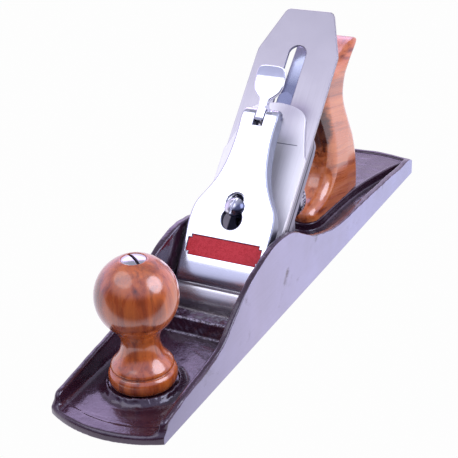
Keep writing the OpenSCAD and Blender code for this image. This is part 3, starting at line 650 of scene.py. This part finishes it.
casting_look = casting_paint()
frog_look = frog_casting()
iron_look = cutting_iron_steel()
cap_iron_look = cap_iron_steel()
cap_look = lever_cap_plating()
bright_look = metal("polished_plating", (0.84, 0.85, 0.94), 0.10, 0.1, depth=0.003).material
clamp_look = screw_plating()
cam_look = cam_plating()
steel_look = metal("plated_steel", (0.62, 0.62, 0.70), 0.26, 0.25, depth=0.008).material
lateral_look = lateral_steel()
wheel_look = wheel_metal()
spring_look = metal("spring_steel", (0.16, 0.16, 0.20), 0.34, 0.2).material
dark_look = metal("blackened_steel", (0.16, 0.155, 0.18), 0.35, 0.2).material
knob_wood = wood("knob_hardwood", (1, 1, 0.10), (0, 0, 0),
                 (0.13, 0.020, 0.006), (0.46, 0.084, 0.016), (0.70, 0.165, 0.028),
                 coat_rough=0.13)
tote_wood = wood("tote_hardwood", (1, 0.07, 1), (math.radians(12), 0, 0),
                 (0.26, 0.045, 0.014), (0.68, 0.165, 0.042), (0.82, 0.250, 0.075),
                 dark_heart_and_shade=(72, 55, 11, 24))
badge_look = red_paint()


def piece(obj, look, body, slot, *replaced):
    obj.data.materials.append(look)
    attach(obj, body)
    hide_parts(*replaced)
    return obj


def carry_over(name, look, bevel_mm=0.15, remesh_mm=0.0):
    """A CAD node shown as it is, with its own look and softened edges."""
    obj = nodes[name]
    obj.data.materials.clear()
    obj.data.materials.append(look)
    obj.data.polygons.foreach_set("use_smooth", [True] * len(obj.data.polygons))
    weld = obj.modifiers.new("weld", "WELD")
    weld.merge_threshold = 1e-6
    if remesh_mm:
        made = obj.modifiers.new("cast_skin", "REMESH")
        made.mode = "VOXEL"
        made.voxel_size = remesh_mm * MM
        made.use_smooth_shade = True
        soften = obj.modifiers.new("cast_soft", "SMOOTH")
        soften.iterations = 3
        soften.factor = 0.5
        return
    if bevel_mm:
        bevel = obj.modifiers.new("edge", "BEVEL")
        bevel.width = bevel_mm * MM
        bevel.segments = 2
        bevel.limit_method = "ANGLE"
        bevel.angle_limit = math.radians(35)
        bevel.harden_normals = False
    even = obj.modifiers.new("even", "WEIGHTED_NORMAL")
    even.keep_sharp = False


# ---- Body casting ----

CHEEK = smooth([(-169.4, 7), (-166, 10.6), (-158, 11.8), (-133, 15.4), (-112.3, 18.2),
                (-104, 21.6), (-96, 27), (-81, 36.1), (-62.8, 42.7), (-50, 45.6), (-40.5, 46.2),
                (-29, 45.0), (-19.1, 41.9), (-10.8, 37.1), (-1.3, 31.8), (6.8, 28.2),
                (20.1, 23.6), (35.1, 19.8), (52, 17.7), (73, 17), (110, 15.2), (148, 12.8),
                (166, 12.1), (171.4, 10), (172.6, 6)], 8)
PLATFORM = smooth([(0, 52.6), (5.5, 54), (9, 58.5), (10.4, 66), (11, 85), (12.6, 110),
                   (16.4, 133), (22.4, 156), (28, 170)], 6)


def arc_end(x, y, end, sagitta, sign):
    """Distance outside the round toe or heel."""
    r = (HALF_W ** 2 + sagitta ** 2) / (2 * sagitta)
    beyond = sign * (y - (end - sign * r))
    return np.where(beyond > 0, np.hypot(x, beyond), np.abs(x)) - r


def hole(x, y, z, cx, cy, r, bottom):
    return np.maximum(np.hypot(x - cx, y - cy) - r, bottom - z)


def casting_field(x, y, z):
    wide = np.abs(x)
    toe = arc_end(x, y, TOE_Y, TOE_SAGITTA, -1)
    heel = arc_end(x, y, HEEL_Y, HEEL_SAGITTA, 1)
    plan = np.maximum(np.maximum(toe, heel), wide - HALF_W)
    uneven = ripple(x, y, z, 9, 3) * 0.07 + ripple(x, y, z, 26, 5) * 0.10

    # Sole plate, with the step round the toe, and the side rails and cheeks
    rim = 0.45 * np.clip((toe + 9.0) / 1.4, 0, 1) - 0.5 * np.clip((toe + 1.6) / 1.6, 0, 1)
    soft = both(plan, z - SOLE_T - rim, 1.8)
    cheek = outline_distance(np.vstack([[(-169.4, 0.5)], CHEEK, [(172.6, 0.5)]]), y, z)
    thick = INNER - 0.25 * np.clip((8 - z) / 4, 0, 1)
    rail = both(cheek, thick - wide, between(y, [0, 60], [1.6, 0.9]))
    rail = both(rail, np.maximum(toe + 1.2, heel + 0.9), 3.0)
    rail = both(rail, wide - HALF_W, between(y, [-120, -80], [2.8, 0.8]))
    soft = either(soft, rail, 3.4)
    # Line left by the pattern a little below the cheeks' tops
    soft = soft - 0.10 * np.exp(-((cheek + 2.6) / 0.5) ** 2) * (wide < HALF_W - 1)

    rib = outline_distance([(-84.2, 2), (-83.4, 4.4), (-80.6, 11.4), (-79.6, 12.1), (-72.6, 12),
                            (-71.2, 11.4), (MOUTH_FRONT - 1, 5.4), (MOUTH_FRONT - 1, 2)], y, z)
    rib = rib + ripple(x, y, z, 6, 21) * 0.16 + ripple(x, y, z, 2.6, 23) * 0.07
    soft = either(soft, np.maximum(rib, wide - INNER - 1), 1.2)

    # Knob boss and its seat
    out = np.hypot(x, y - KNOB_Y)
    rough = ripple(x, y, z, 11, 9) * 0.16 + ripple(x, y, z, 3.6, 13) * 0.14
    boss = both((out - 20.3 + 0.42 * (z - SOLE_T)) * 0.92 - rough, z - 7.8 - rough, 1.2)
    soft = either(soft, boss, 3.6)

    # Platform under the tote with its raised border, and the lip along the heel
    table = outline_distance(
        mirrored(np.vstack([PLATFORM, [(HALF_W - 1, HEEL_Y)]])), x, y)
    border = 0.5 * np.clip((table + 2.6) / 0.6, 0, 1)
    top = both(np.maximum(table, heel), z - PLATFORM_Z + 0.45 - border, 1.0)
    soft = either(soft, top, 1.8)
    lip = both(np.maximum(-heel - 3.4, heel), z - 9.9, 1.4)
    soft = either(soft, np.maximum(lip, 150 - y), 1.4)
    soft = soft + uneven

    # Machined faces: frog seat, mouth, tapped holes, ground sides and sole
    ledge = outline_distance([(MOUTH_FRONT + 2, 2), (MOUTH_FRONT + 2, 6), (-43, 6), (-43, 2)], y, z)
    pad = outline_distance([(-41, 2), (-41, 12), (0, 12), (0, 2)], y, z)
    key = outline_distance([(-38, 10), (-38, 14), (-4, 14), (-4, 10)], y, z)
    solid = np.minimum(soft, np.maximum(ledge, wide - INNER))
    solid = np.minimum(solid, np.maximum(pad, wide - 20))
    solid = np.minimum(solid, np.maximum(key, wide - 3))
    solid = np.maximum(solid, -np.maximum(out - 17.9, KNOB_SEAT - z))
    # The mouth: a slot with its rear face along the bed
    mouth = outline_distance([(MOUTH_FRONT, -2), (BED_Y - 0.7, -2), (BED_Y - 1.3, -1.5),
                              (BED_Y + 17.2, 17), (MOUTH_FRONT, 17)], y, z)
    solid = np.maximum(solid, -np.maximum(mouth, wide - INNER + 0.4))
    solid = np.maximum(solid, -hole(x, y, z, 0, KNOB_Y, ROD_HOLE_R, 1.5))
    for side in (-13, 13):
        solid = np.maximum(solid, -hole(x, y, z, side, -24, 2.6, 2))
    bore = np.hypot(x, z - 8.2) - 2.6
    solid = np.maximum(solid, -np.maximum(bore, np.maximum(-22 - y, y - 1)))
    leaned = (y - TOTE_FOOT_Y) * math.cos(TOTE_LEAN) + (z - PLATFORM_Z) * math.sin(TOTE_LEAN)
    solid = np.maximum(solid, -np.maximum(np.hypot(x, leaned) - ROD_HOLE_R, 4.8 - z))
    return np.maximum(np.maximum(solid, wide - HALF_W), np.maximum(-z, plan))


casting = net("casting", casting_field, (-HALF_W - 0.75, TOE_Y - 0.8, -0.75),
              (HALF_W + 1, HEEL_Y + 1, 48), 0.5)
piece(casting, casting_look, "plane_body", "casting", "body_casting")

# ---- Front knob ----

ball = [(20.7 * math.cos(a), 20.7 * math.sin(a) + 48.7)
        for a in np.radians(np.linspace(-47, 71.4, 44))]
pocket = ball[-1]
knob_profile = ([(3.4, 0), (13.4, 0)]
                + [tuple(q) for q in smooth([(14.2, 0.1), (16.3, 1.4), (17.25, 4.1), (17.1, 6.9),
                                             (16.1, 8.6), (15.3, 9.15)], 8)]
                + [tuple(q) for q in smooth([(15.05, 9.3), (15.15, 9.75), (15.75, 10.3),
                                             (15.7, 11.2), (14.9, 12.6), (12.6, 15.4),
                                             (10.7, 18.8), (9.65, 23), (10, 27), (11.8, 31)], 8)]
                + ball
                + [(pocket[0] - 0.12, pocket[1] + 0.02), (pocket[0] - 0.32, pocket[1] - 0.25),
                   (pocket[0] - 0.32, pocket[1] - 3.6), (4.7, pocket[1] - 3.6), (4.7, 48),
                   (3.4, 48), (3.4, 0)])
knob = lathe("knob", knob_profile, 192,
             Matrix.Translation((0, KNOB_Y * MM, (KNOB_SEAT + 0.02) * MM)))
piece(knob, knob_wood, "plane_body", "hardwood", "front_knob")

# ---- Tote ----

TOTE_FRONT = smooth([(54.2, 10), (54, 12.5), (56, 16), (62, 18.5), (69, 20.5), (76, 24.5),
                     (80.8, 30.5), (82.6, 38), (81.8, 48), (78.6, 58), (74.6, 68), (71.4, 78),
                     (70.2, 87), (72.2, 94.5), (78, 99), (87, 100.6), (97, 101.6), (108, 104.6),
                     (118, 107.8), (124.8, 108.4)], 6)
TOTE_REAR = smooth([(125.6, 106.8), (121, 103.6), (112.8, 96.6), (106, 87.4), (104.4, 77.4),
                    (110.2, 64), (118.7, 48.8), (123.6, 34), (125.6, 22), (125.4, 10)], 6)
TOTE_TOP = 93.4


def tote_field(x, y, z):
    side = outline_distance(np.vstack([[(54.4, PLATFORM_Z - 12)], TOTE_FRONT, TOTE_REAR,
                                       [(125, PLATFORM_Z - 12)]]), y, z)
    half = between(y, [50, 62, 85, 105, 130], [7.6, 9.4, 10.6, 11.5, 11.5])
    # Full round over the grip and the horn, squarer at the foot
    round_r = between(z, [9, 92, 108], [7.4, 8.5, 5.0])
    a, b = side + round_r, np.abs(x) - half + round_r
    wood_body = (np.minimum(np.maximum(a, b), 0)
                 + np.hypot(np.maximum(a, 0), np.maximum(b, 0)) - round_r)
    solid = np.maximum(wood_body, PLATFORM_Z + 0.02 - z)
    up_rod = -(y - TOTE_FOOT_Y) * math.sin(TOTE_LEAN) + (z - PLATFORM_Z) * math.cos(TOTE_LEAN)
    out = np.hypot(x, (y - TOTE_FOOT_Y) * math.cos(TOTE_LEAN)
                   + (z - PLATFORM_Z) * math.sin(TOTE_LEAN))
    solid = np.maximum(solid, -(out - 3.4))
    solid = np.maximum(solid, -np.maximum(out - 4.7, 75 - up_rod))
    return np.maximum(solid, -np.maximum(out - 6.6, TOTE_TOP - up_rod))


tote = net("tote", tote_field, (-12.25, 52.5, 8.75), (12.25, 127, 110), 0.5)
piece(tote, tote_wood, "plane_body", "hardwood", "tote")

# ---- Lever cap ----

CAP_PLAN = smooth([(24.6, 15.4), (25.1, 30), (25.6, 46), (25.3, 55), (23.6, 61.5), (19.4, 68.5),
                   (15.6, 76), (12.9, 85), (11.4, 96), (11.1, 106), (11.3, 113), (10.4, 119.8)], 8)
CAP_FACE = smooth([(15.8, 9), (15.3, 10.4), (16.6, 12.4), (19.8, 14.1), (25, 15.3), (31, 16.1),
                   (45, 17.8), (60, 19.3), (80, 21.4), (100, 23.3), (112, 24.1),
                   (116.0, 23.9), (118.2, 22.8), (119.4, 20.9), (119.6, 19)], 8)
CAP_BACK = smooth([(119.6, 17), (108, 15.2), (95, 13.9), (80, 12.4), (60, 10.9), (45, 10.2),
                   (31, 9.7), (24, 9.4), (19, 9)], 4)
CAP_HOLLOW = [(26, 0), (26, 12), (45, 14.4), (60, 15.8), (80, 17.8), (100, 19.6), (109, 20.2),
              (109, 0)]
BADGE = [(-22.3, 32.2), (-20.5, 32.2), (-20.5, 30.4), (20.5, 30.4), (20.5, 32.2), (22.3, 32.2),
         (22.3, 39.6), (20.5, 39.6), (20.5, 41.4), (-20.5, 41.4), (-20.5, 39.6), (-22.3, 39.6)]


def face_height(s):
    return between(s, CAP_FACE[30:, 0], CAP_FACE[30:, 1])


def slot_distance(x, s, a, b, r):
    return np.hypot(x, s - np.clip(s, a, b)) - r


def cap_field(x, s, h):
    plan = outline_distance(mirrored(np.vstack([[(24.2, 15)], CAP_PLAN])), x, s)
    view = outline_distance(np.vstack([CAP_FACE, CAP_BACK]), s, h)
    shell = both(plan, view, 1.5)
    hollow = np.maximum(plan + 3.4, outline_distance(CAP_HOLLOW, s, h))
    shell = both(shell, -hollow, 0.8)
    rivet_pad = np.maximum(np.maximum(np.abs(x) - 5.5, np.abs(s - SPRING_RIVET_S) - 5),
                           np.abs(h - 14.5) - 4.5)
    shell = np.minimum(shell, rivet_pad)
    pin_boss = np.hypot(s - CAM_S, h - np.clip(h, CAM_H, CAM_H + 2.6)) - 3.6
    pin_boss = np.maximum(np.maximum(pin_boss, s - 119), view)
    shell = np.minimum(shell, np.maximum(pin_boss, np.abs(x) - 8.6))
    key = np.minimum(slot_distance(x, s, 53.6, 64.6, 3.8), np.hypot(x, s - 53.6) - 6.1)
    shell = both(shell, -key, 0.7)
    seat = np.maximum(slot_distance(x, s, CLAMP_S, 63, 5.8), 18.9 - h)
    shell = np.maximum(shell, -seat)
    shell = both(shell, -np.maximum(np.abs(x) - CAM_SLOT_HALF, CAM_SLOT_FOOT - s), 0.6)
    shell = np.maximum(shell, PIN_HOLE_R - np.hypot(s - CAM_S, h - CAM_H))
    shell = np.maximum(shell, -np.maximum(np.hypot(x, s - SPRING_RIVET_S) - PIN_HOLE_R, h - 16))
    sunk = np.maximum(outline_distance(BADGE, x, s) - 0.12, face_height(s) - 0.85 - h)
    return both(shell, -sunk, 0.35)


lever_cap = net("lever_cap_shell", cap_field, (-26.1, 14.1, 8.1), (26.5, 121, 25.2), 0.35,
                BED, True)
piece(lever_cap, cap_look, "frog_group", "polished_plating", "lever_cap")


def badge_field(x, s, h):
    top = face_height(s) - 0.42
    return np.maximum(outline_distance(BADGE, x, s) + 0.05,
                      np.maximum(h - top, top - 0.9 - h))


badge = net("red_panel", badge_field, (-23, 29.5, 13.5), (23, 42.2, 18.6), 0.25, BED)
piece(badge, badge_look, "frog_group", "badge_enamel", "lever_cap_badge")

# ---- Cam lever ----

PADDLE_VIEW = np.vstack([
    smooth([(119.5, 24.7), (124, 25.0), (130, 25.3), (134.4, 25.6), (136.6, 26.0), (138.6, 26.6),
            (141, 27.4), (143, 28.1)], 8),
    smooth([(143.8, 27.7), (143.2, 26.6), (140.6, 25.2), (137.4, 24.2), (132, 23.2),
            (126, 22.5), (119.5, 22.2)], 8)])
PADDLE_PLAN = smooth([(2.5, 119), (2.6, 121.6), (3.4, 123.6), (5.6, 125.8), (7.8, 128.4),
                      (8.9, 132), (9.1, 136.4), (8.7, 140), (7.5, 142.4), (4.6, 143.4),
                      (0, 143.6)], 8)


def cam_field(x, s, h):
    hub = np.minimum(np.hypot(s - CAM_S, h - CAM_H) - 4.6,
                     np.hypot(s - CAM_S - 0.4, h - 10.6) - 5.1)
    body = outline_distance([(CAM_S - 4.4, 11), (CAM_S - 4.4, CAM_H), (CAM_S + 4.6, CAM_H),
                             (CAM_S + 5.4, 11)], s, h)
    arm = outline_distance([(111.6, CAM_H + 0.6), (111.0, 24.4), (112.4, 24.9), (118, 25.0),
                            (123, 24.9), (127, 24.4), (127, 22.8), (122, 21.2),
                            (119.8, 18.2)], s, h)
    side = either(np.minimum(hub, body), arm, 0.6)
    stem = both(side, np.abs(x) - CAM_STEM_HALF, 0.9)
    plan = outline_distance(mirrored(PADDLE_PLAN), x, s)
    paddle = both(plan, outline_distance(PADDLE_VIEW, s, h), 1.1)
    lever = either(stem, paddle, 1.2)
    # The neck stays narrower than the cap's slot until it is clear of it with the lever up
    neck = CAM_STEM_HALF + 1.5 * np.maximum(s - 121.8, 0)
    lever = np.maximum(lever, np.abs(x) - neck)
    return np.maximum(lever, PIN_HOLE_R - np.hypot(s - CAM_S, h - CAM_H))


cam = net("cam_thumb_lever", cam_field, (-9.7, 108, 4.9), (9.7, 145, 30.4), 0.25, BED, True)
piece(cam, cam_look, "cam", "polished_plating", "cam_lever")

# ---- Cap iron ----

CAP_IRON_PLAN = smooth([(25.3, 97), (25.2, 99.5), (23.6, 103), (20, 116), (17.8, 124.6),
                        (14, 128.4), (8, 130.6), (0, 131.6)], 8)
HUMP_OUT = smooth([(26.5, 4.22), (23, 4.8), (19.2, 7.0), (15.4, 8.3), (11.5, 7.75), (7.6, 6.3),
                   (4.2, 4.3), (2.3, 2.7), (1.6, 2.02)], 8)
HUMP_IN = smooth([(3.7, 2.02), (6, 3.6), (9, 5.0), (12.6, 6.0), (16.4, 5.6), (20, 4.0),
                  (23.4, 2.4), (26, 2.02)], 8)
CAP_IRON_HOLE_S = 102
CAP_IRON_HOLE_R = 3.03


def cap_iron_field(x, s, h):
    plan = outline_distance(mirrored(np.vstack([[(25.3, 0)], CAP_IRON_PLAN])), x, s)
    view = outline_distance(np.vstack([[(140, 2.02), (140, 4.22)], HUMP_OUT, HUMP_IN]), s, h)
    solid = both(plan, view, 0.35)
    solid = np.maximum(solid, -slot_distance(x, s, CLAMP_S - 2.5, CLAMP_S + 2.5, 4.2))
    solid = np.maximum(solid, -np.maximum(np.abs(x) - 3.6, np.abs(s - 90) - 2.8))
    return np.maximum(solid, CAP_IRON_HOLE_R - np.hypot(x, s - CAP_IRON_HOLE_S))


cap_iron = net("cap_iron_plate", cap_iron_field, (-25.9, 0.5, 1.6), (25.9, 132.6, 8.9), 0.3,
               BED, True)
piece(cap_iron, cap_iron_look, "irons", "cap_iron_steel", "cap_iron")

# ---- Cutting iron ----

IRON_TOP = (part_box("cutting_iron")[1].y / MM - BED_Y) / ROOT2
IRON_PLAN = [(25.4, -4), (25.4, 163), (25.15, 165.4), (24.4, 167.6), (15.6, IRON_TOP - 2.2),
             (14.6, IRON_TOP - 0.8), (13, IRON_TOP)]
EDGE_S = -1.6
BEVEL = math.radians(25)


def iron_field(x, s, h):
    plan = outline_distance(mirrored(IRON_PLAN), x, s)
    plan = np.maximum(plan, -slot_distance(x, s, 50, 164.2, 5.6))
    plan = np.maximum(plan, 9.0 - np.hypot(x, s - 50))
    solid = both(plan, np.maximum(h - IRON_T, -h), 0.2)
    return np.maximum(solid, (EDGE_S - s) * math.sin(BEVEL) + (IRON_T - h) * math.cos(BEVEL))


cutting_iron = net("cutting_iron_plate", iron_field, (-26.05, -2.8, -0.7),
                   (26.05, IRON_TOP + 1, 2.8), 0.35, BED, True)
piece(cutting_iron, iron_look, "irons", "iron_steel", "cutting_iron")

# ---- Screw heads ----


def domed(r_head, dome_r, tall, rim, slot_w, slot_deep, slot_turn, shank_r, shank_low, bore_r=0.0):
    """Field of a domed, slotted head that starts at z = 0, with its shank below."""
    turn = math.radians(slot_turn)
    centre = tall - dome_r

    def field(x, y, z):
        out = np.hypot(x, y)
        dome = np.sqrt(x * x + y * y + (z - centre) ** 2) - dome_r
        head = both(both(out - r_head, dome, rim), -z, rim)
        slot = np.maximum(np.abs(y * math.cos(turn) - x * math.sin(turn)) - slot_w / 2,
                          tall - slot_deep - z)
        shank = np.maximum(out - shank_r, np.maximum(shank_low - z, z - 0.5))
        solid = both(np.minimum(head, shank), -slot, 0.25)
        if bore_r:
            solid = np.maximum(solid, -np.maximum(out - bore_r, z + 1))
        return solid
    return field


SCREW_SEAT = 18.92
clamp_screw = net("lever_cap_screw_head", domed(5.5, 7.2, 3.8, 0.35, 1.3, 2.0, 80, 3.0,
                                                -10 - SCREW_SEAT), (-5.7, -5.7, -29.3),
                  (5.8, 5.8, 4.2), 0.16,
                  BED @ Matrix.Translation((0, CLAMP_S * MM, SCREW_SEAT * MM)), True)
piece(clamp_screw, clamp_look, "clamp_screw", "polished_plating", "lever_cap_screw")

NUT_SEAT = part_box("knob_nut")[0].z / MM + 16
NUT_RAISED = 0.9
top_nut = net("knob_nut_head", domed(6.2, 17.6, 3.2, 0.3, 1.5, 1.8, -35, 4.4, -16, 3.03),
              (-6.4, -6.4, -16.3), (6.5, 6.5, 3.6), 0.18,
              Matrix.Translation((0, KNOB_Y * MM, (NUT_SEAT + NUT_RAISED) * MM)), True)
piece(top_nut, nut_plating(NUT_SEAT + 2.6), "plane_body", "polished_nut", "knob_nut")

# ---- CAD nodes carried over ----

carry_over("frog", frog_look, remesh_mm=0.5)
carry_over("depth_wheel", wheel_look, 0.15)
carry_over("depth_wheel_hub", wheel_look, 0.2)
carry_over("tote_nut", bright_look, 0.15)
carry_over("cap_iron_screw", dark_look, 0.2)
carry_over("lever_cap_spring", spring_look, 0.08)
carry_over("lateral_lever", lateral_look, 0.15)
for name in ("frog_screws", "frog_washers", "frog_adjusting_screw", "frog_adjusting_plate",
             "frog_plate_screw", "yoke_lever", "yoke_pin", "depth_adjuster_stud",
             "lateral_lever_rivet", "lateral_disc", "lateral_disc_rivet", "spring_rivet",
             "cam_pin", "knob_rod", "tote_rod"):
    carry_over(name, steel_look, 0.1)

# ---- Camera ----

YAW, PITCH, ROLL = (math.radians(a) for a in (-28.38, -26.0, -2.66))
look = Vector((math.sin(YAW) * math.cos(PITCH), math.cos(YAW) * math.cos(PITCH),
               math.sin(PITCH)))
right = look.cross(Vector((0, 0, 1))).normalized()
up = right.cross(look)
right, up = (right * math.cos(ROLL) + up * math.sin(ROLL),
             up * math.cos(ROLL) - right * math.sin(ROLL))
camera_data = bpy.data.cameras.new("camera")
camera_data.lens = 93.69
camera_data.sensor_width = 36
camera_data.clip_start = 0.05
camera_data.clip_end = 100
camera = bpy.data.objects.new("camera", camera_data)
camera.matrix_world = Matrix((
    (right.x, up.x, -look.x, 0.27784),
    (right.y, up.y, -look.y, -0.55245),
    (right.z, up.z, -look.z, 0.33146),
    (0, 0, 0, 1)))
bpy.context.scene.collection.objects.link(camera)
bpy.context.scene.camera = camera

# ---- Floor, light ----

AWAY = Vector((look.x, look.y, 0)).normalized()


def fade(tree, value, low, high, dark, bright):
    """A colour that goes from dark to bright as the value goes from low to high."""
    share = tree.nodes.new("ShaderNodeMapRange")
    share.interpolation_type = "SMOOTHSTEP"
    tree.links.new(value, share.inputs["Value"])
    share.inputs["From Min"].default_value = low
    share.inputs["From Max"].default_value = high
    mix = tree.nodes.new("ShaderNodeMix")
    mix.data_type = "RGBA"
    tree.links.new(share.outputs["Result"], mix.inputs["Factor"])
    for socket, colour in ((mix.inputs[6], dark), (mix.inputs[7], bright)):
        if isinstance(colour, bpy.types.NodeSocket):
            tree.links.new(colour, socket)
        else:
            socket.default_value = (*colour, 1)
    return mix.outputs[2]


def along(tree, vector, direction):
    made = tree.nodes.new("ShaderNodeVectorMath")
    made.operation = "DOT_PRODUCT"
    tree.links.new(vector, made.inputs[0])
    made.inputs[1].default_value = direction
    return made.outputs["Value"]


# White sweep under and behind the plane; the room in front of it is dim in reflections
floor = new_object("floor", [(-30, -30, 0), (30, -30, 0), (30, 30, 0), (-30, 30, 0)],
                   [(0, 1, 2, 3)], Matrix.Translation((0, 0, -0.0003)), False)
floor_paint = Paint("floor_white")
tree = floor_paint.tree
seen = tree.nodes.new("ShaderNodeLightPath").outputs["Is Camera Ray"]
ahead = along(tree, floor_paint.position, AWAY)
glow = fade(tree, ahead, -0.215, -0.165, (0.09, 0.07, 0.10), (0.96, 0.93, 1.06))
glow = fade(tree, seen, 0.0, 1.0, glow, (0.985, 0.985, 0.985))
floor_paint.set(Base_Color=(0.0, 0.0, 0.0, 1), Roughness=0.9, Emission_Color=glow,
                Emission_Strength=1.0)
floor_paint.set(Specular_IOR_Level=0.0)
floor.data.materials.append(floor_paint.material)


def soft_box(name, direction, distance, width, height, power, colour):
    """A round-cornered soft lamp towards that direction from the middle of the plane."""
    aim = Vector((0, -0.02, 0.05))
    data = bpy.data.lights.new(name, "AREA")
    data.shape = "ELLIPSE"
    data.size, data.size_y = width, height
    data.energy = power
    data.color = colour
    lamp = bpy.data.objects.new(name, data)
    where = aim + direction.normalized() * distance
    lamp.matrix_world = (Matrix.Translation(where)
                         @ (aim - where).to_track_quat("-Z", "Y").to_matrix().to_4x4())
    bpy.context.scene.collection.objects.link(lamp)


soft_box("box_over", Vector((-0.31, -0.48, 0.82)), 1.3, 1.34, 0.84, 3.8, (0.94, 0.95, 1.0))
soft_box("box_right", Vector((0.80, 0.08, 0.58)), 1.1, 0.84, 0.84, 7.4, (0.80, 0.84, 1.0))
soft_box("box_back", Vector((-0.47, 0.68, 0.56)), 1.6, 1.15, 0.90, 4.0, (0.72, 0.56, 1.0))

world = bpy.data.worlds.new("studio")
world.use_nodes = True
sky = world.node_tree
toward = sky.nodes.new("ShaderNodeTexCoord").outputs["Generated"]
height = along(sky, toward, (0, 0, 1))
front = fade(sky, height, 0.20, 0.55, (0.05, 0.04, 0.065), (0.60, 0.62, 0.88))
behind = fade(sky, height, 0.25, 0.85, (1.05, 0.92, 1.30), (0.42, 0.43, 0.54))
around = fade(sky, along(sky, toward, AWAY), -0.25, 0.30, front, behind)
sky.links.new(around, sky.nodes["Background"].inputs["Color"])
sky.nodes["Background"].inputs["Strength"].default_value = 1.0
bpy.context.scene.world = world
bpy.context.scene.view_settings.view_transform = "Standard"
